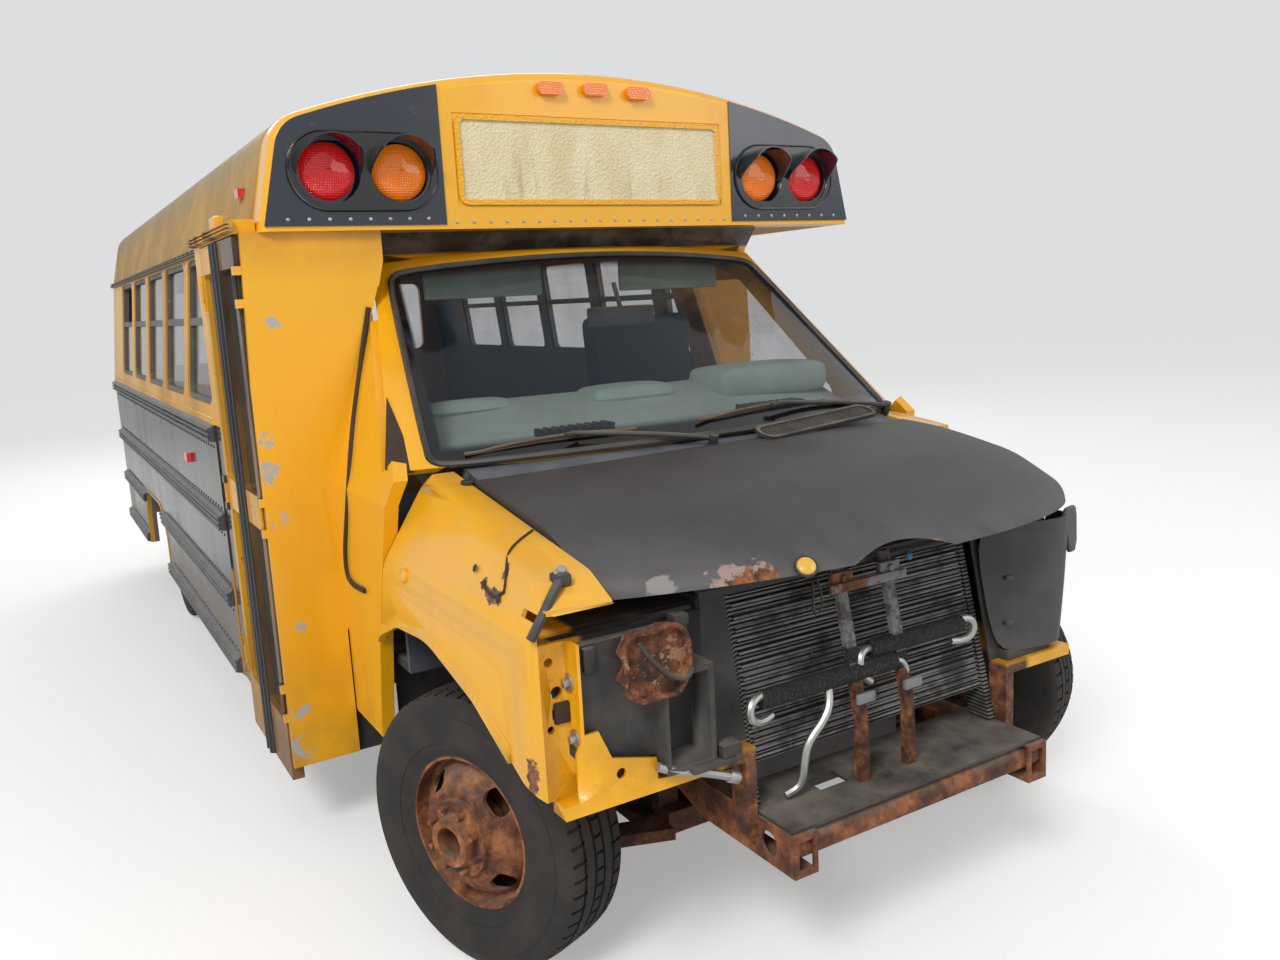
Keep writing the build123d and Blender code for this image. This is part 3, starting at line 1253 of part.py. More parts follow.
# Entry door leaves: frames with two lights each, meeting at rubber edges
leaf_mid_y = (door_front_y + door_rear_y) / 2
leaf_nose_radius = 19.0
leaf_low_z = door_foot_z
leaf_light_rows = ((430.0, 1050.0), (1160.0, 1860.0))


def leafFrame(hinge_y, meet_y):
    toward = 1 if meet_y > hinge_y else -1
    nose_y = meet_y - toward * (leaf_nose_radius + 1)
    low = min(hinge_y, nose_y)
    high = max(hinge_y, nose_y)
    frame = block(leaf_out_x, leaf_out_x + leaf_thick, low, high, leaf_low_z, door_head_z - leaf_gap)
    light_a = hinge_y + toward * 46
    light_b = meet_y - toward * (leaf_rubber + 8)
    panes_here = []
    for z0, z1 in leaf_light_rows:
        y0 = min(light_a, light_b)
        y1 = max(light_a, light_b)
        light = frameRows(y0, y1, z0, z1, 20)
        frame -= alongX(light, leaf_out_x - 1, leaf_out_x + leaf_thick + 1)
        panes_here.append(alongX(insetRows(light, glass_gap), leaf_out_x + 16, leaf_out_x + 22))
    axis_y = hinge_y + toward * 3
    for z in leaf_hinge_heights:
        for way in (-1, 1):
            near = z + way * leaf_knuckle_length / 2
            far = near + way * (knuckle_fixed + 6)
            frame -= rodZ(leaf_axis_x, axis_y, min(near, far), max(near, far), leaf_knuckle_radius + 2)
    for post in knuckleStack(leaf_axis_x, axis_y, leaf_hinge_heights, leaf_knuckle_radius, leaf_knuckle_length,
                              True):
        frame += post
    nose = rodZ(leaf_out_x + 4, nose_y, leaf_low_z, door_head_z - leaf_gap, leaf_nose_radius)
    return frame + nose, panes_here


front_leaf, front_panes = leafFrame(door_front_y + leaf_gap, leaf_mid_y - leaf_gap / 2)
rear_leaf, rear_leaf_panes = leafFrame(door_rear_y - leaf_gap, leaf_mid_y + leaf_gap / 2)
keep("entry_leaf_front", front_leaf)
keep("entry_glass_front", front_panes)
keep("entry_leaf_rear", rear_leaf)
keep("entry_glass_rear", rear_leaf_panes)

# Move the origin under the middle of the length and write each node
boxes = [solid.bounding_box() for solids in saved.values() for solid in solids]
shift_y = -(min(box.min.Y for box in boxes) + max(box.max.Y for box in boxes)) / 2
os.makedirs("parts", exist_ok=True)
for node, solids in saved.items():
    moved = [Pos(0, shift_y, 0) * solid for solid in solids]
    shape = moved[0] if len(moved) == 1 else Compound(children=moved)
    export_step(shape, "parts/" + node + ".step")
print("origin shift", shift_y)
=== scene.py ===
import math

import bpy
from mathutils import Matrix, Vector


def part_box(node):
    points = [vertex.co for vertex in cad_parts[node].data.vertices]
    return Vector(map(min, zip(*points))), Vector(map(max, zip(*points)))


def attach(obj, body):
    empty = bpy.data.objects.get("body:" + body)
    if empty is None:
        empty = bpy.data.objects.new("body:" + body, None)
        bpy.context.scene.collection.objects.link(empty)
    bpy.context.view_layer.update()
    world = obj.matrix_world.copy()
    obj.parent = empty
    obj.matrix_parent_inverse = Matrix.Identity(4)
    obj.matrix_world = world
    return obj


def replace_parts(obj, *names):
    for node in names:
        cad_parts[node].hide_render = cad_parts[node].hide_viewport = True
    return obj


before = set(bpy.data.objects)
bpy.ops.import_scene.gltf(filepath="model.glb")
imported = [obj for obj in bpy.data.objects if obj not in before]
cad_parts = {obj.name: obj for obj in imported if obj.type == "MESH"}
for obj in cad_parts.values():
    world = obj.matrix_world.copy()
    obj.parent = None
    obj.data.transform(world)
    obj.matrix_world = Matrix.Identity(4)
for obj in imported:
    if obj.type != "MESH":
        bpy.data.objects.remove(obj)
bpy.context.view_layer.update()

print("frame loaded:", len(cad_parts), "pieces")

# The bus is laid out from its front axle; every place below is given from there, in metres,
# and moved by this much to where the frame stands.
layout = {"bumperRear": 5.770}
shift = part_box("rear_bumper")[1].y - layout["bumperRear"]
# The side wall: its half width up to the belt, and how it leans in from there to the eave
side = {"half": 1.220, "belt": 1.331, "eave": 1.985, "eaveHalf": 1.148, "railProud": 0.020, "skin": 0.020}


def at(x, y, z):
    return Vector((x, y + shift, z))


def places(*points):
    return [at(*point) for point in points]


# Shader helpers

def plug(tree, socket, value):
    if isinstance(value, bpy.types.NodeSocket):
        tree.links.new(value, socket)
    else:
        socket.default_value = value


def addNode(tree, kind, inputs=None, **settings):
    node = tree.nodes.new(kind)
    for name, value in settings.items():
        setattr(node, name, value)
    for name, value in (inputs or {}).items():
        plug(tree, node.inputs[name], value)
    return node


def calc(tree, operation, first, second=0.0):
    return addNode(tree, "ShaderNodeMath", {0: first, 1: second}, operation=operation).outputs[0]


def vector(tree, operation, first, second=(0, 0, 0)):
    return addNode(tree, "ShaderNodeVectorMath", {0: first, 1: second}, operation=operation).outputs


def blend(tree, share, first, second):
    return addNode(tree, "ShaderNodeMix", {0: share, 2: first, 3: second}, data_type="FLOAT").outputs[0]


def ramp(tree, value, low, high, bottom=0.0, top=1.0, kind="LINEAR"):
    inputs = {"Value": value, "From Min": low, "From Max": high, "To Min": bottom, "To Max": top}
    return addNode(tree, "ShaderNodeMapRange", inputs, interpolation_type=kind).outputs[0]


def objectPlace(tree):
    return addNode(tree, "ShaderNodeTexCoord").outputs["Object"]


def axes(tree, source):
    return addNode(tree, "ShaderNodeSeparateXYZ", {0: source}).outputs


def faces(tree):
    return addNode(tree, "ShaderNodeNewGeometry").outputs


def noise(tree, scale, detail, roughness=0.5, seed=None, source=None):
    inputs = {"Vector": source or objectPlace(tree), "Scale": scale, "Detail": detail, "Roughness": roughness}
    if seed is None:
        return addNode(tree, "ShaderNodeTexNoise", inputs).outputs[0]
    return addNode(tree, "ShaderNodeTexNoise", {**inputs, "W": seed}, noise_dimensions="4D").outputs[0]


def cells(tree, scale):
    return addNode(tree, "ShaderNodeTexVoronoi", {"Vector": objectPlace(tree), "Scale": scale}).outputs["Distance"]


groups = {}


def newGroup(key, ins, outs):
    tree = groups[key] = bpy.data.node_groups.new(key, "ShaderNodeTree")
    for label, value in ins.items():
        kind = "Vector" if isinstance(value, tuple) else "Float"
        socket = tree.interface.new_socket(name=label, in_out="INPUT", socket_type="NodeSocket" + kind)
        socket.default_value = value
    for label in outs:
        kind = "Color" if label == "Color" else "Float"
        tree.interface.new_socket(name=label, in_out="OUTPUT", socket_type="NodeSocket" + kind)
    return tree, tree.nodes.new("NodeGroupInput").outputs, tree.nodes.new("NodeGroupOutput").inputs


def buildCloud():
    # patches with soft or hard edges; stretched coordinates make streaks
    tree, ins, outs = newGroup("cloud", {"Scale": 4.0, "Stretch": (1, 1, 1), "Amount": 0.5, "Softness": 0.08,
                                         "Seed": 0.0}, ["Mask"])
    mapping = addNode(tree, "ShaderNodeMapping", {"Vector": objectPlace(tree), "Scale": ins["Stretch"]})
    value = noise(tree, ins["Scale"], 7.0, 0.62, ins["Seed"], mapping.outputs[0])
    edge = calc(tree, "SUBTRACT", 1.0, ins["Amount"])
    low = calc(tree, "SUBTRACT", edge, ins["Softness"])
    high = calc(tree, "ADD", edge, ins["Softness"])
    plug(tree, outs["Mask"], ramp(tree, value, low, high, kind="SMOOTHSTEP"))


def buildSpot():
    # a ragged patch round one place
    tree, ins, outs = newGroup("spot", {"Place": (0, 0, 0), "Reach": 0.1, "Rag": 0.5, "Seed": 0.0,
                                        "Squash": (1, 1, 1)}, ["Mask"])
    away = vector(tree, "SUBTRACT", objectPlace(tree), ins["Place"])[0]
    length = vector(tree, "LENGTH", vector(tree, "MULTIPLY", away, ins["Squash"])[0])["Value"]
    share = calc(tree, "DIVIDE", length, ins["Reach"])
    value = noise(tree, 28.0, 6.0, 0.65, ins["Seed"])
    shaken = calc(tree, "MULTIPLY", calc(tree, "SUBTRACT", value, 0.5), ins["Rag"])
    total = calc(tree, "ADD", share, calc(tree, "MULTIPLY", shaken, 4.0))
    plug(tree, outs["Mask"], ramp(tree, total, 1.0, 0.8, kind="SMOOTHSTEP"))


def buildBand():
    # rises from 0 to 1 along an axis between two levels
    tree, ins, outs = newGroup("band", {"Axis": (0, 0, 1), "From": 0.0, "To": 1.0, "Mirror": 0.0}, ["Mask"])
    level = vector(tree, "DOT_PRODUCT", objectPlace(tree), ins["Axis"])["Value"]
    chosen = blend(tree, ins["Mirror"], level, calc(tree, "ABSOLUTE", level))
    plug(tree, outs["Mask"], ramp(tree, chosen, ins["From"], ins["To"]))


def buildDust():
    # settles on faces that look up, in patches
    tree, ins, outs = newGroup("dust", {"Amount": 0.5, "Scale": 6.0}, ["Mask"])
    up = ramp(tree, axes(tree, faces(tree)["Normal"])["Z"], 0.25, 1.0)
    patch = ramp(tree, noise(tree, ins["Scale"], 8.0, 0.6), 0.35, 0.7)
    plug(tree, outs["Mask"], calc(tree, "MULTIPLY", calc(tree, "MULTIPLY", up, patch), ins["Amount"]))


def buildRust():
    tree, ins, outs = newGroup("rust", {"Scale": 14.0, "Bright": 0.5}, ["Color", "Height"])
    broad = noise(tree, ins["Scale"], 9.0, 0.68)
    fine = cells(tree, calc(tree, "MULTIPLY", ins["Scale"], 9.0))
    lighter = calc(tree, "MULTIPLY", calc(tree, "SUBTRACT", ins["Bright"], 0.5), 0.4)
    colours = addNode(tree, "ShaderNodeValToRGB", {0: calc(tree, "ADD", broad, lighter)})
    stops = ((0.30, (0.028, 0.014, 0.010)), (0.44, (0.095, 0.035, 0.018)), (0.54, (0.21, 0.075, 0.030)),
             (0.64, (0.36, 0.135, 0.048)), (0.76, (0.50, 0.27, 0.14)))
    while len(colours.color_ramp.elements) < len(stops):
        colours.color_ramp.elements.new(0.5)
    for element, (level, colour) in zip(colours.color_ramp.elements, stops):
        element.position = level
        element.color = (*colour, 1)
    plug(tree, outs["Color"], colours.outputs["Color"])
    plug(tree, outs["Height"], calc(tree, "ADD", broad, calc(tree, "MULTIPLY", fine, 0.5)))


def buildGrain():
    tree, ins, outs = newGroup("grain", {"Scale": 400.0, "Mix": 0.3}, ["Height"])
    plug(tree, outs["Height"], blend(tree, ins["Mix"], noise(tree, ins["Scale"], 3.0), noise(tree, 5.0, 2.0)))


for build in (buildCloud, buildSpot, buildBand, buildDust, buildRust, buildGrain):
    build()
finishes = {}


class Finish:
    # one material, built up as a base coat and layers over it

    def __init__(self, name, colour, roughness, metallic=0.0, coat=0.0, coatRoughness=0.08):
        material = finishes[name] = bpy.data.materials.new(name)
        material.use_nodes = True
        self.tree = material.node_tree
        self.tree.nodes.clear()
        self.shader = addNode(self.tree, "ShaderNodeBsdfPrincipled", {
            "Metallic": metallic, "Coat Weight": coat, "Coat Roughness": coatRoughness})
        addNode(self.tree, "ShaderNodeOutputMaterial", {"Surface": self.shader.outputs[0]})
        self.colour, self.rough, self.normal = (*colour, 1), roughness, None

    def group(self, name, **values):
        node = addNode(self.tree, "ShaderNodeGroup", node_tree=groups[name])
        for label, value in values.items():
            plug(self.tree, node.inputs[label], value)
        return node.outputs

    def calc(self, operation, first, second=0.0):
        return calc(self.tree, operation, first, second)

    def mask(self, first, *others):
        for other in others:
            first = self.calc("MULTIPLY", first, other)
        return first

    def either(self, first, *others):
        for other in others:
            first = self.calc("MAXIMUM", first, other)
        return first

    def cloud(self, scale, amount, softness, seed, stretch=(1, 1, 1)):
        return self.group("cloud", Scale=scale, Amount=amount, Softness=softness, Seed=seed, Stretch=stretch)[0]

    def spot(self, place, reach, rag=0.5, seed=0.0, squash=(1, 1, 1)):
        return self.group("spot", Place=place, Reach=reach, Rag=rag, Seed=seed, Squash=squash)[0]

    def band(self, axis, low, high, mirror=0.0):
        return self.group("band", Axis=axis, From=low, To=high, Mirror=mirror)[0]

    def across(self, low, high, mirror=0.0):
        return self.band((1, 0, 0), low, high, mirror)

    def along(self, low, high):
        return self.band((0, 1, 0), shift + low, shift + high)

    def rise(self, low, high):
        return self.band((0, 0, 1), low, high)

    def layer(self, mask, colour, roughness=None, strength=1.0):
        if strength != 1.0:
            mask = self.calc("MULTIPLY", mask, strength)
        if not isinstance(colour, bpy.types.NodeSocket):
            colour = (*colour, 1)
        self.colour = addNode(self.tree, "ShaderNodeMix", {0: mask, 6: self.colour, 7: colour},
                              data_type="RGBA").outputs[2]
        if roughness is not None:
            self.rough = blend(self.tree, mask, self.rough, roughness)

    def patches(self, cloud, colour, roughness, strength=1.0, within=None):
        # the cloud is its scale, amount, softness and seed, with a stretch where it streaks
        mask = self.cloud(*cloud)
        self.layer(mask if within is None else self.mask(within, mask), colour, roughness, strength)

    def dust(self, amount, scale=6.0, colour=(0.36, 0.31, 0.25), roughness=0.85):
        self.layer(self.group("dust", Amount=amount, Scale=scale)[0], colour, roughness)

    def bump(self, height, distance):
        inputs = {"Height": height, "Distance": distance, "Strength": 1.0}
        if self.normal is not None:
            inputs["Normal"] = self.normal
        self.normal = addNode(self.tree, "ShaderNodeBump", inputs).outputs[0]

    def rust(self, mask, scale, bright):
        outs = self.group("rust", Scale=scale, Bright=bright)
        self.layer(mask, outs["Color"], 0.85)
        self.bump(self.calc("MULTIPLY", outs["Height"], mask), 0.0008)

    def rustAll(self, scale, bright, lift):
        outs = self.group("rust", Scale=scale, Bright=bright)
        self.colour = outs["Color"]
        self.bump(outs["Height"], lift)

    def grain(self, scale, distance, mix):
        self.bump(self.group("grain", Scale=scale, Mix=mix)[0], distance)

    def places(self):
        return axes(self.tree, objectPlace(self.tree))

    def waves(self, axis, pitch):
        return self.calc("SINE", self.calc("MULTIPLY", axis, 2 * math.pi / pitch))

    def seeThrough(self, high, clear):
        # clear head on and a mirror at a slant; a ray that leaves the pane meets no second mirror
        facing = addNode(self.tree, "ShaderNodeFresnel", {"IOR": 1.5}).outputs[0]
        cover = ramp(self.tree, facing, 0.04, high, clear, 0.97)
        return self.calc("MULTIPLY", cover, self.calc("SUBTRACT", 1.0, faces(self.tree)["Backfacing"]))

    def cover(self, operation, first, second):
        alpha = addNode(self.tree, "ShaderNodeMath", {0: first, 1: second}, operation=operation, use_clamp=True)
        plug(self.tree, self.shader.inputs["Alpha"], alpha.outputs[0])

    def done(self):
        plug(self.tree, self.shader.inputs["Base Color"], self.colour)
        plug(self.tree, self.shader.inputs["Roughness"], self.rough)
        if self.normal is not None:
            plug(self.tree, self.shader.inputs["Normal"], self.normal)


tones = {
    "yellow": (0.90, 0.43, 0.004),
    "paleYellow": (0.88, 0.49, 0.03),
    "oldYellow": (0.50, 0.20, 0.006),
    "chip": (0.42, 0.42, 0.41),
    "grime": (0.16, 0.085, 0.03),
    "darkDust": (0.13, 0.11, 0.09),
    "dust": (0.36, 0.31, 0.25),
    "lichen": (0.22, 0.21, 0.15),
    "night": (0.014, 0.019, 0.034),
    "greyRail": (0.085, 0.093, 0.11),
    "inside": (0.15, 0.155, 0.16),
    "rustBase": (0.1, 0.04, 0.02),
}


def bodyYellow(name):
    return Finish(name, tones["yellow"], 0.30, coat=0.55, coatRoughness=0.12)


def yellowPaint(name, seed, grime, chips, rustSpots=()):
    f = bodyYellow(name)
    f.patches((0.9, 0.55, 0.25, seed), tones["paleYellow"], 0.4, 0.25)
    f.patches((3.0, grime, 0.16, seed + 3.0, (1, 1, 0.3)), tones["oldYellow"], 0.5, 0.30)
    f.patches((7.0, 0.55, 0.2, seed + 5.0), tones["grime"], 0.8, 0.30, f.rise(0.9, 0.3))
    f.dust(0.22, 5.0, roughness=0.75)
    f.patches((34.0, chips, 0.008, seed + 8.0), tones["chip"], 0.7)
    for place, reach, squash in rustSpots:
        f.rust(f.spot(at(*place), reach, 0.75, seed + 2.0, squash), 40.0, 0.45)
    f.grain(260.0, 0.0006, 0.75)
    f.done()


def leafFinish(name, meetStart, meetEnd, grime, blackAbove=0.0):
    # a painted frame with the black rubber of its meeting edge, dirtier towards the foot
    f = Finish(name, tones["yellow"], 0.4, coat=0.3)
    if blackAbove:
        stiles = f.either(f.rise(1.155, 1.160), f.rise(1.055, 1.050))
        f.layer(f.mask(stiles, f.rise(blackAbove, blackAbove + 0.01)), (0.012, 0.011, 0.011), 0.45)
    f.patches((4.0, 0.5, 0.14, 3.0, (1, 1, 0.25)), (0.42, 0.19, 0.015), 0.6, 0.6)
    f.patches((8.0, 0.72, 0.1, 4.0), (0.16, 0.075, 0.03), 0.75, grime, f.rise(0.85, 0.35))
    f.patches((30.0, 0.34, 0.01, 6.0), (0.10, 0.05, 0.025), 0.8)
    rubber = f.along(meetStart, meetEnd)
    f.layer(rubber, (0.009, 0.009, 0.010), 0.38)
    ribs = f.waves(f.places()["Y"], 0.009)
    f.layer(f.mask(rubber, f.calc("GREATER_THAN", ribs, 0.72)), (0.10, 0.10, 0.10), 0.4, 0.6)
    f.bump(f.mask(rubber, ribs), 0.003)
    f.done()


def wallFinish(name, chipSpots):
    # the wall ahead of the doorway; behind its corner only dark rubber and hinge metal show
    f = bodyYellow(name)
    f.patches((0.9, 0.55, 0.25, 7.0), tones["paleYellow"], 0.4, 0.25)
    f.patches((2.4, 0.42, 0.18, 10.0, (1, 1, 0.4)), (0.55, 0.22, 0.006), 0.5, 0.30)
    f.patches((7.0, 0.5, 0.16, 12.0), tones["grime"], 0.8, 0.35, f.rise(0.75, 0.3))
    # painted shadow: the top of the wall, in the shadow of the cap, is painted a darker orange
    f.patches((5.0, 0.6, 0.2, 13.0), (0.40, 0.16, 0.006), 0.6, 0.5, f.rise(1.80, 1.95))
    f.patches((60.0, 0.22, 0.01, 14.0), tones["grime"], 0.8)
    for place, reach in chipSpots:
        f.patches((22.0, 0.52, 0.02, 18.0), tones["chip"], 0.75, within=f.spot(at(*place), reach, 0.6, 7.0))
    f.layer(f.mask(f.along(0.866, 0.871), f.across(-1.165, -1.175)), (0.014, 0.013, 0.013), 0.5)
    f.grain(260.0, 0.0006, 0.75)
    f.done()


def railFinish(name):
    # grey steel rails, and the drip rails browned by weather
    f = Finish(name, tones["greyRail"], 0.42, coat=0.15)
    f.patches((4.0, 0.5, 0.22, 1.0), (0.050, 0.054, 0.062), 0.5, 0.6)
    f.patches((18.0, 0.34, 0.02, 2.0), (0.17, 0.15, 0.13), 0.7)
    f.dust(0.7, 8.0)
    high = f.rise(1.935, 1.945)
    f.layer(high, (0.19, 0.145, 0.095), 0.7)
    f.patches((24.0, 0.45, 0.05, 4.0), tones["lichen"], 0.9, within=high)
    overDoor = f.mask(high, f.along(1.665, 1.655))
    f.patches((9.0, 0.58, 0.05, 5.0), (0.60, 0.30, 0.02), 0.5, within=overDoor)
    f.rust(f.mask(overDoor, f.cloud(14.0, 0.46, 0.04, 6.0)), 40.0, 0.5)
    f.grain(300.0, 0.0005, 0.2)
    f.done()


def shellFinish(name):
    # the cab shell: yellow outside; the roof ahead of the body is painted near black as painted shade from the cap
    # above it
    f = bodyYellow(name)
    f.patches((3.0, 0.42, 0.16, 7.0, (1, 1, 0.3)), tones["oldYellow"], 0.5, 0.30)
    # painted shade: the cab roof between the windscreen and the cap is painted near black, with dark dust over it
    top = f.mask(f.rise(1.885, 1.895), f.along(0.83, 0.86))
    f.layer(top, (0.020, 0.017, 0.015), 0.6)
    f.patches((9.0, 0.5, 0.1, 8.0), tones["darkDust"], 0.8, 0.7, top)
    f.patches((34.0, 0.24, 0.008, 9.0), tones["chip"], 0.7)
    f.grain(260.0, 0.0006, 0.75)
    f.done()


def bayFinish(name):
    f = Finish(name, tones["yellow"], 0.38, coat=0.3)
    f.patches((5.0, 0.46, 0.14, 2.0), (0.45, 0.19, 0.01), 0.6, 0.5)
    f.patches((24.0, 0.34, 0.03, 3.0), tones["grime"], 0.8, 0.7)
    f.rust(f.cloud(12.0, 0.33, 0.03, 5.0), 30.0, 0.5)
    # painted shade: the upper tie below the hood and the inner part of the support round the core are painted near
    # black
    hoodShade = f.mask(f.rise(0.968, 0.982), f.across(-0.865, -0.850))
    bezelShade = f.mask(f.across(-0.70, -0.68), f.rise(0.700, 0.715), f.across(0.725, 0.715))
    f.layer(f.either(hoodShade, bezelShade), (0.017, 0.016, 0.016), 0.75)
    f.rust(f.mask(f.across(0.535, 0.515, 1.0), f.rise(0.66, 0.64)), 18.0, 0.45)
    f.grain(260.0, 0.0006, 0.6)
    f.done()


def rustySteel(name, bright, scale, paint=None, paintAmount=0.4):
    f = Finish(name, tones["rustBase"], 0.85)
    f.rustAll(scale, bright, 0.0016)
    if paint:
        f.patches((6.0, paintAmount, 0.03, 4.0), paint, 0.6)
    f.dust(0.55, 9.0, roughness=0.9)
    f.done()


def blackPlastic(name, colour=(0.018, 0.018, 0.019), rough=0.55, dust=0.5):
    f = Finish(name, colour, rough)
    f.patches((5.0, 0.5, 0.2, 7.0), tones["darkDust"], 0.75, 0.5)
    f.dust(dust, 8.0)
    f.grain(500.0, 0.0004, 0.1)
    f.done()


def sideFinish(name, seed):
    # yellow above the belt, gloss black below it, a pale lining inside
    belt, half = side["belt"], side["half"]
    f = Finish(name, tones["yellow"], 0.32, coat=0.12, coatRoughness=0.1)
    f.shader.inputs["Specular IOR Level"].default_value = 0.38
    f.patches((2.2, 0.5, 0.14, seed, (1, 1, 0.12)), tones["grime"], 0.6, 0.45)
    f.layer(f.rise(belt + 0.0005, belt - 0.0005), (0.012, 0.010, 0.010), 0.07)
    # painted reflection: glossy brown patches on the black below the belt stand for the ground mirrored in it
    f.patches((3.0, 0.5, 0.16, seed + 1.0, (1, 1, 0.5)), (0.075, 0.048, 0.030), 0.30, 0.6,
              f.rise(belt, belt - 0.001))
    f.patches((6.0, 0.6, 0.2, seed + 2.0), tones["dust"], 0.7, 0.55, f.rise(0.75, 0.4))
    flatness = f.calc("ABSOLUTE", axes(f.tree, faces(f.tree)["Normal"])["X"])
    f.layer(f.mask(f.calc("LESS_THAN", flatness, 0.5), f.rise(0.80, 0.78)), (0.72, 0.33, 0.01), 0.5)
    # the lining starts a skin's depth in from the outside, which leans in above the belt
    lean = (half - side["eaveHalf"]) / (side["eave"] - belt)
    lining = half - side["skin"]
    inner = f.mask(f.across(lining, lining - 0.001, 1.0), f.rise(belt + 0.001, belt))
    place = f.places()
    reach = f.calc("ADD", f.calc("ABSOLUTE", place["X"]),
                   f.calc("MULTIPLY", f.calc("SUBTRACT", place["Z"], belt), lean))
    innerHigh = f.mask(f.calc("LESS_THAN", reach, lining), f.rise(belt, belt + 0.001))
    f.layer(f.either(inner, innerHigh), tones["inside"], 0.5)
    f.grain(180.0, 0.0008, 0.85)
    f.done()


def roofFinish(name):
    f = Finish(name, (0.62, 0.33, 0.04), 0.55, coat=0.05)
    f.patches((2.5, 0.56, 0.12, 2.0), (0.34, 0.22, 0.07), 0.7, 0.75)
    f.patches((1.8, 0.62, 0.14, 3.0), (0.30, 0.28, 0.23), 0.9, within=f.rise(2.12, 2.34))
    f.patches((16.0, 0.36, 0.03, 6.0), tones["lichen"], 0.9, 0.8)
    f.patches((45.0, 0.31, 0.02, 9.0), (0.05, 0.045, 0.035), 0.9)
    f.grain(220.0, 0.0007, 0.8)
    f.done()


def glassFinish(name, tint, clear, dusty):
    f = Finish(name, tint, 0.03)
    film = f.cloud(4.0, 0.5, 0.25, 5.0)
    f.layer(film, (0.35, 0.36, 0.34), 0.35, dusty)
    f.cover("ADD", f.seeThrough(0.6, clear), f.calc("MULTIPLY", film, dusty * 0.8))
    f.done()


def screenFinish(name):
    # laminated glass with a black ceramic edge, which follows the bow of its foot, head and ends
    f = Finish(name, (0.006, 0.018, 0.034), 0.03)
    place = f.places()
    bow = f.calc("MULTIPLY", f.calc("POWER", place["X"], 2.0), 0.045)
    level = f.calc("ADD", place["Z"], bow)
    reach = f.calc("ADD", f.calc("ABSOLUTE", place["X"]),
                   f.calc("MULTIPLY", f.calc("SUBTRACT", place["Z"], 1.28), 0.225))
    edge = f.either(ramp(f.tree, level, 1.355, 1.335), ramp(f.tree, level, 1.815, 1.845),
                    ramp(f.tree, reach, 0.815, 0.832))
    f.layer(edge, (0.006, 0.006, 0.007), 0.12)
    f.patches((1.6, 0.42, 0.3, 5.0), (0.05, 0.07, 0.08), 0.3, 0.3, f.calc("SUBTRACT", 1.0, edge))
    f.cover("MAXIMUM", f.seeThrough(0.7, 0.40), edge)
    f.done()


def coolerFinish(name):
    # dark ribbed foam on the tubes, and flat steel straps, painted above and rusted below
    f = Finish(name, (0.014, 0.014, 0.015), 0.85)
    place = f.places()
    ribs = f.waves(place["X"], 0.0068)
    ragged = noise(f.tree, 190.0, 3.0)
    f.layer(f.mask(f.calc("GREATER_THAN", ribs, 0.2), f.calc("GREATER_THAN", ragged, 0.54)),
            (0.085, 0.080, 0.074), 0.8)
    f.bump(f.calc("ADD", ribs, ragged), 0.004)
    flat = addNode(f.tree, "ShaderNodeCombineXYZ", {"Y": place["Y"], "Z": place["Z"]}).outputs[0]
    strap = f.mask(*[f.calc("GREATER_THAN", vector(f.tree, "DISTANCE", flat, tube)["Value"], 0.0248)
                     for tube in places((0, -0.548, 0.755), (0, -0.536, 0.798))])
    f.layer(strap, (0.33, 0.34, 0.35), 0.5)
    f.patches((26.0, 0.50, 0.04, 3.0), (0.17, 0.15, 0.14), 0.7, within=strap)
    f.rust(f.mask(strap, f.rise(0.83, 0.74), f.cloud(14.0, 0.74, 0.06, 4.0)), 30.0, 0.50)
    f.done()


def lensFinish(name, colour):
    # pillow optics from two crossed waves
    f = Finish(name, colour, 0.16, coat=0.9, coatRoughness=0.03)
    place = f.places()
    pillow = f.mask(*[f.calc("ABSOLUTE", f.calc("SINE", f.calc("MULTIPLY", place[axis], 420.0))) for axis in "XZ"])
    f.bump(pillow, 0.0025)
    f.layer(f.calc("SUBTRACT", 1.0, pillow), tuple(0.35 * part for part in colour), strength=0.6)
    f.dust(0.2, 20.0, roughness=0.8)
    f.shader.inputs["Emission Color"].default_value = (*colour, 1)
    f.shader.inputs["Emission Strength"].default_value = 0.22
    f.done()


def plainFinish(name, colour, rough, metallic=0.0, coat=0.0, grainSize=300.0, lift=0.0005, dust=0.3, worn=None):
    f = Finish(name, colour, rough, metallic, coat)
    f.patches((4.0, 0.5, 0.22, 1.0), tuple(0.62 * part for part in colour), min(rough + 0.15, 1.0), 0.6)
    if worn:
        f.patches((18.0, 0.36, 0.02, 2.0), worn, 0.7)
    f.dust(dust, 8.0)
    f.grain(grainSize, lift, 0.2)
    f.done()


def hoodFinish(name):
    f = Finish(name, (0.030, 0.031, 0.035), 0.50)
    f.patches((2.5, 0.5, 0.2, 1.0), (0.048, 0.048, 0.052), 0.62, 0.7)
    f.patches((5.0, 0.58, 0.16, 4.0, (1, 0.4, 1)), (0.135, 0.118, 0.115), 0.66, 0.6, f.rise(1.20, 1.09))
    f.patches((38.0, 0.27, 0.01, 5.0), (0.17, 0.15, 0.13), 0.8)
    f.layer(f.spot(at(-0.520, -0.640, 1.088), 0.062, 0.7, 2.0, (0.8, 1, 1.4)), (0.33, 0.24, 0.20), 0.8)
    f.rust(f.spot(at(-0.500, -0.648, 1.086), 0.040, 0.9, 4.0, (0.7, 1, 1.4)), 42.0, 0.55)
    f.layer(f.spot(at(-0.668, -0.548, 1.084), 0.034, 0.5, 3.0, (0.9, 1, 1.4)), (0.26, 0.24, 0.23), 0.75)
    f.patches((16.0, 0.6, 0.05, 9.0), (0.72, 0.36, 0.03), 0.5,
              within=f.spot(at(-0.11, -0.748, 1.098), 0.100, 0.3, 3.0, (0.8, 1, 4.2)))
    f.dust(0.16, 3.0, (0.20, 0.19, 0.17), 0.8)
    f.grain(420.0, 0.0005, 0.35)
    f.done()


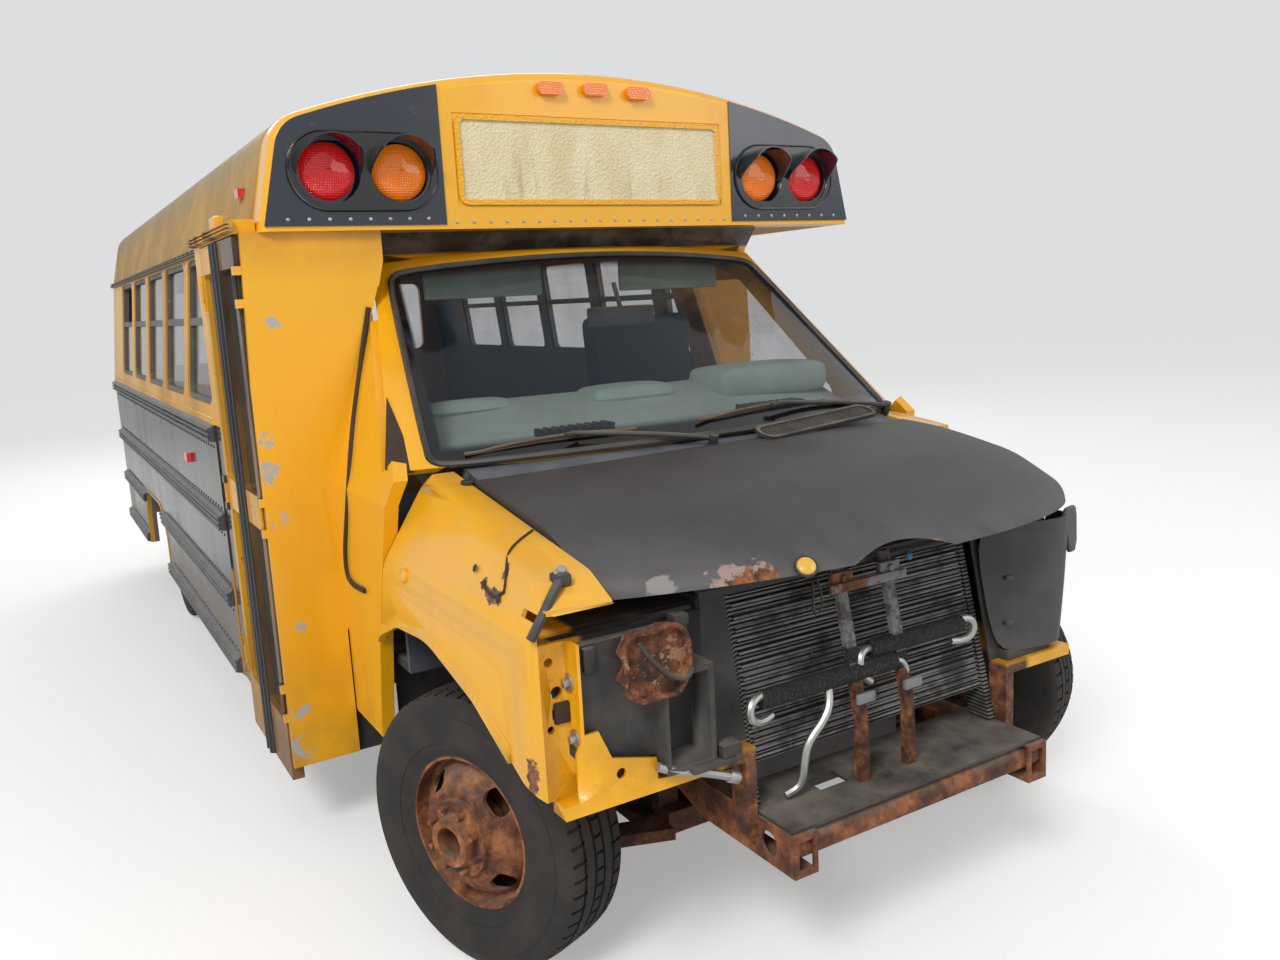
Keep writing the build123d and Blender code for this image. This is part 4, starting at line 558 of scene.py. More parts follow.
def tyreFinish(name):
    f = Finish(name, (0.021, 0.018, 0.016), 0.78)
    f.patches((9.0, 0.46, 0.15, 3.0), (0.058, 0.046, 0.037), 0.92, 0.6)
    f.layer(f.rise(0.05, 0.0), (0.14, 0.12, 0.10), 0.95, 0.5)
    f.grain(500.0, 0.0005, 0.2)
    f.done()


def signFinish(name):
    # a cream pebbled face inside a raised yellow border, stained from the top; it carries no words
    f = Finish(name, (0.80, 0.70, 0.45), 0.42, coat=0.25)
    f.patches((7.0, 0.48, 0.16, 3.0, (1, 1, 0.35)), (0.62, 0.47, 0.20), 0.5, 0.55)
    f.patches((20.0, 0.38, 0.08, 5.0, (1, 1, 0.2)), (0.40, 0.28, 0.10), 0.6, 0.45)
    f.bump(cells(f.tree, 110.0), 0.003)
    f.layer(f.either(f.across(0.4985, 0.4995, 1.0), f.rise(2.0495, 2.0485), f.rise(2.2985, 2.2995)),
            tones["yellow"], 0.32)
    f.done()


def flakyRust(name):
    f = Finish(name, tones["rustBase"], 0.88)
    f.rustAll(22.0, 0.42, 0.004)
    f.patches((34.0, 0.42, 0.02, 3.0), (0.36, 0.20, 0.11), 0.9, 0.8)
    f.patches((26.0, 0.40, 0.03, 6.0), (0.030, 0.018, 0.013), 0.9)
    f.done()


def finFinish(name):
    # a condenser core: close horizontal fins with a fine zigzag between its tubes; the gaps between the fins are
    # painted near black as painted shade
    f = Finish(name, (0.34, 0.33, 0.31), 0.5, metallic=0.55)
    place = f.places()
    # painted shade: dark stripes between the fins
    finGapShade = ramp(f.tree, f.waves(place["Z"], 0.0105), -0.15, 0.55)
    f.layer(finGapShade, (0.018, 0.017, 0.016), 0.9)
    f.patches((7.0, 0.48, 0.1, 1.0), (0.028, 0.026, 0.024), 0.9, 0.75)
    f.patches((60.0, 0.33, 0.02, 2.0), (0.45, 0.38, 0.28), 0.9)
    f.bump(f.calc("ADD", finGapShade, f.calc("MULTIPLY", f.waves(place["X"], 0.0046), 0.25)), 0.004)
    f.done()


chipSpots = [  # bare metal down the doorway's edge: place, reach
    ((-1.134, 0.85, 1.690), 0.022), ((-1.186, 0.85, 1.341), 0.026), ((-1.190, 0.85, 1.235), 0.050),
    ((-1.186, 0.85, 1.092), 0.035), ((-1.150, 0.85, 0.74), 0.020), ((-1.182, 0.85, 0.467), 0.035),
    ((-1.176, 0.85, 0.350), 0.045)]
fenderRust = [  # place, reach, squash
    ((-0.970, -0.330, 1.072), 0.034, (1, 0.7, 1.8)), ((-0.945, -0.350, 1.135), 0.016, (1, 1, 0.6)),
    ((-0.966, -0.262, 1.086), 0.014, (1, 1, 1)), ((-0.99, -0.52, 0.72), 0.022, (1, 1, 0.6))]
yellowPaint("capYellow", 1.0, 0.36, 0.22)
yellowPaint("shellYellow", 4.0, 0.42, 0.24)
yellowPaint("fenderYellow", 12.0, 0.40, 0.25, fenderRust)
yellowPaint("rearYellow", 19.0, 0.45, 0.25)
wallFinish("wallYellow", chipSpots)
leafFinish("leafFront", 1.120, 1.124, 0.9, 0.425)
leafFinish("leafRear", 1.236, 1.232, 0.6)
bayFinish("bayYellow")
shellFinish("cabYellow")
sideFinish("leftSide", 22.0)
sideFinish("rightSide", 27.0)
roofFinish("roofPaint")
lensFinish("amberLens", (1.0, 0.22, 0.0))
lensFinish("redLens", (0.75, 0.004, 0.006))
railFinish("railGrey")
screenFinish("screenGlass")
glassFinish("sideGlass", (0.03, 0.045, 0.045), 0.10, 0.14)
coolerFinish("coolerTubes")
hoodFinish("hoodBlack")
rustySteel("rustSteel", 0.52, 12.0)
rustySteel("darkRust", 0.34, 10.0, (0.018, 0.016, 0.015), 0.45)
rustySteel("wheelRust", 0.60, 16.0)
rustySteel("hubDark", 0.40, 16.0, (0.03, 0.028, 0.026))
rustySteel("strapRust", 0.55, 20.0, (0.20, 0.21, 0.22), 0.52)
flakyRust("flakyRust")
finFinish("coreFins")
tyreFinish("tyreRubber")
signFinish("signCream")
blackPlastic("blackPlastic")
blackPlastic("greyCover", (0.035, 0.038, 0.046), 0.42, 0.25)
blackPlastic("doorRubber", (0.011, 0.011, 0.012), 0.42, 0.15)
blackPlastic("blackPaint", (0.012, 0.012, 0.013), 0.35, 0.4)
plainFinish("panelBlue", tones["night"], 0.14, coat=0.8, grainSize=90.0, lift=0.0003, worn=(0.03, 0.035, 0.05))
plainFinish("trimGrey", (0.085, 0.098, 0.12), 0.55, dust=0.25)
plainFinish("cabGrey", (0.52, 0.66, 0.58), 0.6, grainSize=600.0, dust=0.2)
plainFinish("seatCloth", (0.055, 0.06, 0.07), 0.95, grainSize=800.0, lift=0.001, dust=0.1)
plainFinish("floorBlack", (0.045, 0.042, 0.040), 0.85, dust=0.6)
plainFinish("castMetal", (0.10, 0.095, 0.09), 0.7, metallic=0.4, dust=0.5, worn=(0.12, 0.05, 0.025))
plainFinish("bareAluminium", (0.52, 0.51, 0.49), 0.38, metallic=0.9, dust=0.25)
plainFinish("podBlack", (0.006, 0.006, 0.007), 0.12, coat=0.7, dust=0.15)
plainFinish("rivetDark", (0.055, 0.052, 0.050), 0.35, metallic=0.3)
plainFinish("bladeBrown", (0.15, 0.095, 0.055), 0.75)
plainFinish("gasketBrown", (0.050, 0.028, 0.018), 0.75, dust=0.1)
plainFinish("capBlue", (0.05, 0.22, 0.42), 0.4, dust=0.1)
plainFinish("amberPale", (0.88, 0.50, 0.06), 0.25, coat=0.6, dust=0.1)
plainFinish("sashGrey", (0.16, 0.155, 0.15), 0.45, metallic=0.3, dust=0.4, worn=(0.30, 0.28, 0.24))

# each finish and the CAD pieces that wear it
wearers = {
    "amberLens": "amber_lamps", "redLens": "red_lamps", "panelBlue": "lamp_panels", "signCream": "sign_board",
    "capYellow": "front_cap", "cabYellow": "cab_shell", "bayYellow": "core_support", "trimGrey": "cowl",
    "fenderYellow": "driver_door fenders", "rearYellow": "rear_door rear_wall", "hoodBlack": "hood",
    "leftSide": "side_wall_left", "rightSide": "side_wall_right", "wallYellow": "transition_panels",
    "leafFront": "entry_leaf_front", "leafRear": "entry_leaf_rear", "roofPaint": "roof", "railGrey": "rub_rails",
    "sideGlass": "driver_door_glass entry_glass_front entry_glass_rear rear_door_glass side_glass",
    "screenGlass": "windshield", "sashGrey": "window_frames", "cabGrey": "dashboard", "seatCloth": "driver_seat",
    "floorBlack": "floor", "coolerTubes": "oil_coolers", "coreFins": "radiator", "castMetal": "engine_block",
    "blackPlastic": "air_dam headlamp_mounts side_baffles steering_wheel", "doorRubber": "mud_flaps",
    "blackPaint": "rear_bumper", "rustSteel": "cross_members frame_rails",
    "darkRust": "drive_shaft exhaust front_suspension fuel_tank knuckle_left knuckle_right rear_axle",
    "wheelRust": "front_wheel_left front_wheel_right", "hubDark": "rear_wheels_left rear_wheels_right",
    "tyreRubber": "front_tyre_left front_tyre_right rear_tyres_left rear_tyres_right",
}


def dress(mesh, finish):
    mesh.materials.clear()
    mesh.materials.append(finishes[finish])


for finish, nodeNames in wearers.items():
    for nodeName in nodeNames.split():
        dress(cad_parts[nodeName].data, finish)
print("finishes:", len(finishes))


# Modelling helpers: every piece starts as a primitive or a path of edges and is shaped in edit mode

def deselect():
    bpy.ops.object.select_all(action="DESELECT")


def choose(obj):
    deselect()
    obj.select_set(True)
    bpy.context.view_layer.objects.active = obj


def settle(obj):
    # the place goes into the mesh, and the object stays at the origin
    choose(obj)
    bpy.ops.object.transform_apply(location=True, rotation=True, scale=True)
    return obj


def enter(mode):
    bpy.ops.object.mode_set(mode=mode)


def pickAll():
    bpy.ops.mesh.select_all(action="SELECT")


def faceOut():
    bpy.ops.mesh.normals_make_consistent(inside=False)


def editAll(obj, *steps):
    choose(obj)
    enter("EDIT")
    pickAll()
    for step in steps:
        step()
    enter("OBJECT")
    return obj


def pickFaces(obj, wanted):
    # leaves the object in edit mode with only the wanted faces selected
    choose(obj)
    enter("EDIT")
    bpy.ops.mesh.select_mode(type="FACE")
    bpy.ops.mesh.select_all(action="DESELECT")
    enter("OBJECT")
    for face in obj.data.polygons:
        face.select = wanted(face)
    enter("EDIT")


def useModifier(obj, kind, **settings):
    choose(obj)
    modifier = obj.modifiers.new(kind, kind)
    for name, value in settings.items():
        setattr(modifier, name, value)
    bpy.ops.object.modifier_apply(modifier=modifier.name)
    return obj


def divided(obj, levels=2):
    return useModifier(obj, "SUBSURF", levels=levels, render_levels=levels)


def thickened(obj, thick):
    return useModifier(obj, "SOLIDIFY", thickness=thick, offset=0)


def addRow(obj, step, count):
    return useModifier(obj, "ARRAY", count=count, use_relative_offset=False, use_constant_offset=True,
                       constant_offset_displace=step)


def joined(objects):
    deselect()
    for obj in objects:
        obj.select_set(True)
    bpy.context.view_layer.objects.active = objects[0]
    if len(objects) > 1:
        bpy.ops.object.join()
    return bpy.context.object


def twinOf(obj):
    twin = obj.copy()
    twin.data = obj.data.copy()
    bpy.context.collection.objects.link(twin)
    return twin


def mirrored(objects):
    twins = []
    for obj in objects:
        twin = twinOf(obj)
        twin.scale = (-1, 1, 1)
        twins.append(editAll(settle(twin), faceOut))
    return twins


def addBox(low, high, bevel=0.002):
    deselect()
    bpy.ops.mesh.primitive_cube_add(size=1, location=(low + high) / 2)
    obj = bpy.context.object
    obj.scale = high - low
    settle(obj)
    return editAll(obj, lambda: bpy.ops.mesh.bevel(offset=bevel, segments=2, affect="EDGES"))


def boxes(*rows):
    # a row is two corners and the bevel
    return [addBox(at(*low), at(*high), bevel) for low, high, bevel in rows]


def addRod(start, stop, radius, sides=24, bevel=0.0015):
    deselect()
    run = stop - start
    bpy.ops.mesh.primitive_cylinder_add(radius=radius, depth=run.length, vertices=sides, location=(start + stop) / 2)
    obj = bpy.context.object
    obj.rotation_euler = run.to_track_quat("Z", "Y").to_euler()
    settle(obj)
    return useModifier(obj, "BEVEL", width=min(bevel, radius / 4), segments=2, limit_method="ANGLE")


def addDome(place, facing, radius, height, sides=8):
    # half of a ball, pressed flat
    deselect()
    bpy.ops.mesh.primitive_uv_sphere_add(segments=sides, ring_count=6, radius=radius)
    obj = bpy.context.object
    editAll(obj, lambda: bpy.ops.mesh.bisect(plane_co=(0, 0, 0), plane_no=(0, 0, 1), clear_inner=True, use_fill=True))
    obj.scale = (1, 1, height / radius)
    obj.rotation_euler = Vector(facing).to_track_quat("Z", "Y").to_euler()
    obj.location = place
    return settle(obj)


def addPath(points, closed=False):
    # one vertex, extruded from point to point
    points = [Vector(point) for point in points]
    deselect()
    bpy.ops.mesh.primitive_plane_add(size=0.002, location=points[0])
    obj = bpy.context.object
    enter("EDIT")
    bpy.ops.mesh.select_mode(type="VERT")
    pickAll()
    bpy.ops.mesh.merge(type="CENTER")
    for before, after in zip(points, points[1:]):
        bpy.ops.mesh.extrude_region_move(TRANSFORM_OT_translate={"value": after - before})
    if closed:
        enter("OBJECT")
        obj.data.vertices[0].select = True
        enter("EDIT")
        bpy.ops.mesh.edge_face_add()
    enter("OBJECT")
    return settle(obj)


def addTube(points, radius, closed=False, smooth=2):
    # a path rounded by subdivision and thickened as a curve
    obj = addPath(points, closed)
    if smooth:
        divided(obj, smooth)
    choose(obj)
    bpy.ops.object.convert(target="CURVE")
    obj = bpy.context.object
    obj.data.bevel_depth = radius
    obj.data.bevel_resolution = 2
    obj.data.use_fill_caps = True
    bpy.ops.object.convert(target="MESH")
    return settle(bpy.context.object)


def addPlate(outlines, thick, bevel=0.0006):
    # the first outline is the edge, and the others are its holes
    obj = joined([addPath(outline, True) for outline in outlines])
    editAll(obj, bpy.ops.mesh.fill if len(outlines) > 1 else bpy.ops.mesh.edge_face_add, faceOut)
    thickened(obj, thick)
    return useModifier(obj, "BEVEL", width=bevel, segments=1, limit_method="ANGLE", angle_limit=math.radians(50))


def addSkin(paths, thick, levels=0):
    # a sheet drawn from path to path
    obj = editAll(joined(paths), bpy.ops.mesh.bridge_edge_loops, faceOut)
    if levels:
        divided(obj, levels)
    return thickened(obj, thick)


def onPlane(loop, origin, along, up):
    along, up = Vector(along).normalized(), Vector(up).normalized()
    return [Vector(origin) + along * a + up * b for a, b in loop]


def roundLoop(width, height, corner, steps=4):
    loop = []
    for wayX, wayY, start in ((1, 1, 0), (-1, 1, 90), (-1, -1, 180), (1, -1, 270)):
        for step in range(steps + 1):
            angle = math.radians(start + 90 * step / steps)
            loop.append((wayX * (width / 2 - corner) + corner * math.cos(angle),
                         wayY * (height / 2 - corner) + corner * math.sin(angle)))
    return loop


def finishPiece(objects, name, finish, body="bus", angle=32):
    obj = joined(objects)
    obj.name = obj.data.name = name
    dress(obj.data, finish)
    choose(obj)
    bpy.ops.object.shade_smooth_by_angle(angle=math.radians(angle))
    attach(obj, body)
    return obj


# Rivets: rows beside each rub rail, up the window posts, along the drip rail, the cap and the lamp panels
rivets = {"radius": 0.0062, "height": 0.0032, "pitch": 0.058, "front": 1.66, "rear": 5.58, "archFront": 3.50,
          "archRear": 4.60, "archTop": 0.92, "rows": (0.4615, 0.6215, 0.7245, 0.9135, 1.0165, 1.2465)}
posts = {"foot": 1.352, "footCount": 67, "second": 2.28, "pitch": 0.70, "count": 6, "facing": (1, 0, 0.11),
         "proud": 0.0005, "radius": 0.0055, "height": 0.003, "levels": (1.41, 1.50, 1.60, 1.70, 1.80, 1.90)}
drip = {"z": 1.969, "pitch": 0.115, "count": 34, "size": 1.3}
capRows = (  # start, pitch, count
    ((-0.53, 0.8228, 1.979), 0.0589, 19), ((-0.625, 0.8188, 1.990), -0.0625, 8),
    ((0.625, 0.8188, 1.990), 0.0625, 8))


def sideHalf(z):
    share = max(0.0, (z - side["belt"]) / (side["eave"] - side["belt"]))
    return side["half"] + (side["eaveHalf"] - side["half"]) * share


def rivetRow(start, step, count, facing, size=1.0):
    return addRow(addDome(start, facing, rivets["radius"] * size, rivets["height"] * size), step, count)


def onBothSides(heads, name, finish):
    finishPiece(mirrored(heads), name + "_right", finish)
    finishPiece(heads, name + "_left", finish)


heads = []
for z in rivets["rows"]:
    runs = [(rivets["front"], rivets["rear"])]
    if z < rivets["archTop"]:
        runs = [(rivets["front"], rivets["archFront"]), (rivets["archRear"], rivets["rear"])]
    for begin, end in runs:
        count = int((end - begin) / rivets["pitch"])
        heads.append(rivetRow(at(sideHalf(z), begin, z), (0, rivets["pitch"], 0), count, (1, 0, 0)))
onBothSides(heads, "side_rivets", "rivetDark")
heads = [rivetRow(at(sideHalf(posts["foot"]) + posts["proud"], rivets["front"], posts["foot"]),
                  (0, rivets["pitch"], 0), posts["footCount"], posts["facing"])]
for index in range(posts["count"]):
    y = posts["second"] + posts["pitch"] * (index - 1)
    for z in posts["levels"]:
        heads.append(addDome(at(sideHalf(z) + posts["proud"], y, z), posts["facing"], posts["radius"],
                             posts["height"], 6))
onBothSides(heads, "post_rivets", "shellYellow")
heads = [rivetRow(at(sideHalf(drip["z"]) + side["railProud"], rivets["front"], drip["z"]), (0, drip["pitch"], 0),
                  drip["count"], (1, 0, 0), drip["size"])]
onBothSides(heads, "drip_rivets", "sashGrey")

pods = {"face": 0.8165, "z": 2.133, "middle": 0.8165, "width": 0.468, "height": 0.234, "lampOffset": 0.1135,
        "hole": 0.0985, "thick": 0.004, "bevel": 0.001, "rim": 0.0038, "rimProud": 0.002}


def roundedPod(x):
    # a pill-shaped black backing with a raised rim, open round the two lamps
    pill = roundLoop(pods["width"], pods["height"], pods["height"] / 2, 8)
    turns = [math.radians(turn) for turn in range(0, 360, 15)]
    holes = [[(pods["lampOffset"] * way + pods["hole"] * math.cos(turn), pods["hole"] * math.sin(turn))
              for turn in turns] for way in (-1, 1)]
    centre = at(x, pods["face"], pods["z"])
    plate = addPlate([onPlane(loop, centre, (1, 0, 0), (0, 0, 1)) for loop in [pill] + holes], pods["thick"],
                     pods["bevel"])
    ahead = centre - Vector((0, pods["rimProud"], 0))
    return [plate, addTube(onPlane(pill, ahead, (1, 0, 0), (0, 0, 1)), pods["rim"], True, 0)]


for name, middle in (("right", -pods["middle"]), ("left", pods["middle"])):
    finishPiece(roundedPod(middle), "lamp_pod_" + name, "podBlack")
heads = [rivetRow(at(*start), (pitch, 0, 0), count, (0, -1, 0)) for start, pitch, count in capRows]
finishPiece(heads, "cap_rivets", "bareAluminium")
print("rivets set")


# Windscreen: rubber seal, wipers and the vent in the cowl. The base and the top are a half width, then y and z
# in the middle and at the ends.
screen = {"base": (0.862, 0.060, 1.300, 0.336, 1.270), "top": (0.736, 0.862, 1.862, 0.951, 1.823), "seal": 0.011,
          "blade": 0.0055, "thinner": 0.9, "arm": 0.0075, "boss": 0.014, "outwards": (0, -0.57, 0.82),
          "sealLift": 0.004, "bladeLift": 0.013, "rootLift": 0.030, "gripLift": 0.034}


def onScreen(across, upwards, lift=0.0):
    ends = [Vector((half * across, y + (endY - y) * across ** 2, z + (endZ - z) * across ** 2))
            for half, y, z, endY, endZ in (screen["base"], screen["top"])]
    return at(*(ends[0].lerp(ends[1], upwards) + lift * Vector(screen["outwards"])))


rising = [(0.992, 0.018), (1.0, 0.07), (1.0, 0.5), (1.0, 0.93), (0.985, 0.982)]
falling = [(-across, upwards) for across, upwards in reversed(rising)]
edge = [(step / 8 * 0.95, 0.0) for step in range(-8, 9)] + rising
edge += [(step / 8 * 0.93, 1.0) for step in range(8, -9, -1)] + falling
sealPath = [onScreen(across, upwards, screen["sealLift"]) for across, upwards in edge]
finishPiece([addTube(sealPath, screen["seal"], True, 1)], "windscreen_seal", "doorRubber")

wipers = (  # blade ends, grip and pivot, as shares across and up the glass
    ((-0.90, 0.030), (-0.36, 0.055), (-0.58, 0.045), (-0.14, -0.045)),
    ((-0.13, 0.060), (0.52, 0.075), (0.22, 0.070), (0.93, -0.020)))
wiper = {"rise": (0, -0.010, 0.015), "edge": ((0, 0), (0.25, 0), (0.5, 0.2), (0.75, 0), (1, 0)),
         "spine": ((0.08, 0), (0.3, 1), (0.7, 1), (0.92, 0)), "bossLow": (0, 0.012, -0.030),
         "bossHigh": (0, -0.004, 0.012), "gripLow": (-0.022, -0.008, -0.008), "gripHigh": (0.022, 0.008, 0.004)}
blades = []
arms = []
rise = Vector(wiper["rise"])
for bladeStart, bladeEnd, grip, pivot in wipers:
    begin, end = [onScreen(*place, screen["bladeLift"]) for place in (bladeStart, bladeEnd)]
    for shape, size in ((wiper["edge"], 1.0), (wiper["spine"], screen["thinner"])):
        blades.append(addTube([begin.lerp(end, share) + rise * lift for share, lift in shape],
                              screen["blade"] * size))
    root, hold = onScreen(*pivot, screen["rootLift"]), onScreen(*grip, screen["gripLift"])
    arms.append(addTube([root, root.lerp(hold, 0.35) + rise * 0.6, hold], screen["arm"]))
    arms.append(addRod(root + Vector(wiper["bossLow"]), root + Vector(wiper["bossHigh"]), screen["boss"]))
    arms.append(addBox(hold + Vector(wiper["gripLow"]), hold + Vector(wiper["gripHigh"]), 0.003))
finishPiece(blades, "wiper_blades", "bladeBrown")
finishPiece(arms, "wiper_arms", "blackPlastic")

vent = {"centre": (0.300, 0.048, 1.3005), "along": (0.975, 0.215, 0.02), "up": (-0.17, 0.78, 0.30), "width": 0.56,
        "height": 0.080, "wire": 0.004}
ventAt = at(*vent["centre"])


def ventLoop(narrower, lower, corner, drop=0.0):
    loop = roundLoop(vent["width"] - narrower, vent["height"] - lower, corner)
    return onPlane(loop, ventAt - Vector((0, 0, drop)), vent["along"], vent["up"])


ventRim = addPlate([ventLoop(0, 0, 0.036), ventLoop(0.026, 0.024, 0.026)], 0.012)
ventBase = addPlate([ventLoop(0.01, 0.01, 0.034, 0.006)], 0.002)
deselect()
bpy.ops.mesh.primitive_grid_add(x_subdivisions=34, y_subdivisions=4, size=1)
mesh = bpy.context.object
along, up = Vector(vent["along"]).normalized(), Vector(vent["up"]).normalized()
out = along.cross(up).normalized()
ventTurn = Matrix((along, out.cross(along), out)).transposed().to_4x4()
ventSize = Matrix.Diagonal((vent["width"] - 0.05, vent["height"] - 0.026, 1, 1))
mesh.matrix_world = Matrix.Translation(ventAt) @ ventTurn @ ventSize
settle(mesh)
useModifier(mesh, "WIREFRAME", thickness=vent["wire"], use_replace=True)
finishPiece([ventRim, ventBase, mesh], "cowl_vent", "blackPlastic")
print("windscreen set")


# Front wall: the gasket left in the old door slit, and a dark plate of painted shade in the corner at the foot of the
# pillar
wall = {"gasket": 0.0085, "cornerThick": 0.005}
slit = places((-0.838, 0.846, 1.722), (-0.851, 0.846, 1.668), (-0.866, 0.843, 1.615), (-0.888, 0.829, 1.531),
              (-0.908, 0.814, 1.471), (-0.947, 0.774, 1.352), (-0.993, 0.694, 1.211), (-1.003, 0.726, 1.083),
              (-1.003, 0.786, 0.978), (-1.003, 0.789, 0.906), (-1.003, 0.765, 0.884), (-1.003, 0.710, 0.877),
              (-1.003, 0.600, 0.886))
finishPiece([addTube(slit, wall["gasket"])], "door_slit_gasket", "gasketBrown")
# painted shade: a thin dark brown plate stands where the pillar's corner is in shade
corner = places((-0.889, 0.583, 1.458), (-0.974, 0.382, 1.277), (-0.944, 0.365, 1.262), (-0.886, 0.362, 1.262))
finishPiece([addPlate([corner], wall["cornerThick"])], "pillar_corner_shade", "gasketBrown")

# Right fender: the crack and its dents, the aerial base, the side lamp's cap, the cut lamp bracket
fenderBits = {"crack": 0.0028, "tear": 0.00392, "cap": 0.016, "capRim": 0.020, "capDepth": 0.006, "bracket": 0.011,
              "facing": (-0.91, 0, 0.42)}
crack = places((-0.813, -0.215, 1.1785), (-0.865, -0.255, 1.1725), (-0.912, -0.301, 1.1645),
               (-0.931, -0.330, 1.1575), (-0.9415, -0.343, 1.1425), (-0.9525, -0.363, 1.1185),
               (-0.9655, -0.376, 1.0915))
tear = places((-0.9655, -0.376, 1.0915), (-0.9735, -0.348, 1.0735), (-0.9735, -0.325, 1.0725),
              (-0.9730, -0.295, 1.0755), (-0.9675, -0.256, 1.0875))
dents = (  # place, radius, height, sides
    ((-0.9605, -0.201, 1.1095), 0.010, 0.002, 12), ((-0.966, -0.262, 1.086), 0.009, 0.003, 8),
    ((-0.974, -0.360, 1.074), 0.010, 0.003, 8))
finishPiece([addTube(crack, fenderBits["crack"], smooth=1), addTube(tear, fenderBits["tear"], smooth=1)] +
            [addDome(at(*place), fenderBits["facing"], *sizes) for place, *sizes in dents],
            "fender_crack", "gasketBrown")
finishPiece([addRod(at(-0.993, 0.219, 1.010), at(-1.004, 0.219, 1.010), fenderBits["capRim"], 20),
             addDome(at(-1.003, 0.219, 1.010), (-1, 0, 0.2), fenderBits["cap"], fenderBits["capDepth"], 16)],
            "side_lamp_cap", "shellYellow")
aerial = {"x": -0.813, "y": 0.182, "foot": 1.239, "rods": ((1.249, 0.019, 20), (1.265, 0.009, 16)),
          "knob": (1.264, 0.008, 0.006)}
top, radius, height = aerial["knob"]
finishPiece([addRod(at(aerial["x"], aerial["y"], aerial["foot"]), at(aerial["x"], aerial["y"], end), wide, sides)
             for end, wide, sides in aerial["rods"]] +
            [addDome(at(aerial["x"], aerial["y"], top), (0, 0, 1), radius, height, 12)], "aerial_base", "doorRubber")
bracket = places((-0.884, -0.500, 1.136), (-0.925, -0.540, 1.118), (-0.965, -0.566, 1.080), (-0.990, -0.556, 1.034))
finishPiece([addTube(bracket, fenderBits["bracket"])] +
            boxes(((-0.905, -0.520, 1.118), (-0.868, -0.480, 1.146), 0.006)), "lamp_bracket", "blackPlastic")
finishPiece([addRod(at(-0.884, -0.498, 1.140), at(-0.884, -0.506, 1.157), 0.011, 6),
             addRod(at(-0.884, -0.496, 1.134), at(-0.884, -0.503, 1.147), 0.017, 20)],
            "lamp_bracket_bolt", "bareAluminium")

# Nose: two bolts on the front support, a socket with its plug, and the torn headlamp ring
nose = {"boltHead": 0.0105, "washer": 0.021, "headTop": 0.017, "washerTop": 0.005,
        "bolts": ((-0.892, -0.520, 0.909), (-0.892, -0.535, 0.787))}
ring = {"middle": (-0.722, 0.936), "thick": 0.004, "rim": 0.0065, "wire": 0.0050, "stay": 0.012, "pipe": 0.011,
        "front": -0.603, "dish": -0.588, "back": -0.556, "dishShare": 0.97, "backShare": 0.86}
boltHeads = []
for place in places(*nose["bolts"]):
    boltHeads.append(addRod(place, place - Vector((nose["washerTop"], 0, 0)), nose["washer"]))
    boltHeads.append(addRod(place, place - Vector((nose["headTop"], 0, 0)), nose["boltHead"], 6, 0.002))
finishPiece(boltHeads, "nose_bolts", "bareAluminium")
finishPiece(boxes(((-0.930, -0.520, 0.820), (-0.893, -0.480, 0.868), 0.004),
                  ((-0.936, -0.512, 0.829), (-0.926, -0.488, 0.858), 0.003)), "nose_socket", "gasketBrown")
finishPiece(boxes(((-0.8995, -0.500, 0.700), (-0.893, -0.440, 0.975), 0.004),
                  ((-0.8985, -0.545, 0.742), (-0.893, -0.470, 0.772), 0.004)), "nose_shield", "blackPlastic")

outline = ((-0.805, 0.967), (-0.783, 1.006), (-0.752, 1.012), (-0.722, 1.002), (-0.690, 1.020), (-0.655, 1.006),
           (-0.640, 0.968), (-0.642, 0.918), (-0.655, 0.880), (-0.677, 0.852), (-0.716, 0.862), (-0.757, 0.850),
           (-0.792, 0.872), (-0.802, 0.905), (-0.786, 0.936))


def ringLoop(depth, share=1.0, slant=0.10):
    # the torn outline, drawn in towards its middle
    middleX, middleZ = ring["middle"]
    return [at(middleX + (x - middleX) * share, depth - slant * (x - middleX), middleZ + (z - middleZ) * share)
            for x, z in outline]


dish = addPlate([ringLoop(ring["dish"], ring["dishShare"])], ring["thick"], 0.001)
rim = addTube(ringLoop(ring["front"]), ring["rim"], True, 1)
collar = addSkin([addPath(ringLoop(ring["front"]), True),
                  addPath(ringLoop(ring["back"], ring["backShare"], 0.0), True)], ring["thick"])
stays = [addRod(at(x, -0.541, z), at(x, -0.575, z), ring["stay"]) for x, z in
         ((-0.67, 0.975), (-0.78, 0.90), (-0.67, 0.875))]
finishPiece([dish, rim, collar] + stays, "headlamp_ring", "flakyRust")
wire = places((-0.765, -0.606, 0.990), (-0.742, -0.612, 0.950), (-0.700, -0.616, 0.905), (-0.655, -0.622, 0.885),
              (-0.644, -0.622, 0.915))
finishPiece([addTube(wire, ring["wire"])], "ring_wire", "blackPlastic")
pipe = places((-0.720, -0.580, 0.690), (-0.68, -0.582, 0.668), (-0.62, -0.582, 0.650), (-0.575, -0.580, 0.632),
              (-0.53, -0.580, 0.612))
finishPiece([addTube(pipe, ring["pipe"]), addRod(at(-0.532, -0.580, 0.613), at(-0.505, -0.580, 0.600), 0.015)],
            "lower_pipe", "bareAluminium")
finishPiece(boxes(((-0.640, -0.604, 0.652), (-0.520, -0.566, 0.668), 0.004),
                  ((-0.560, -0.606, 0.668), (-0.505, -0.560, 0.700), 0.006)), "duct_foot", "blackPlastic")
finishPiece(boxes(((-0.640, -0.552, 0.985), (-0.600, -0.512, 1.012), 0.005),
                  ((-0.870, -0.552, 0.930), (-0.840, -0.535, 0.985), 0.005)), "mount_lugs", "blackPlastic")
print("nose set")


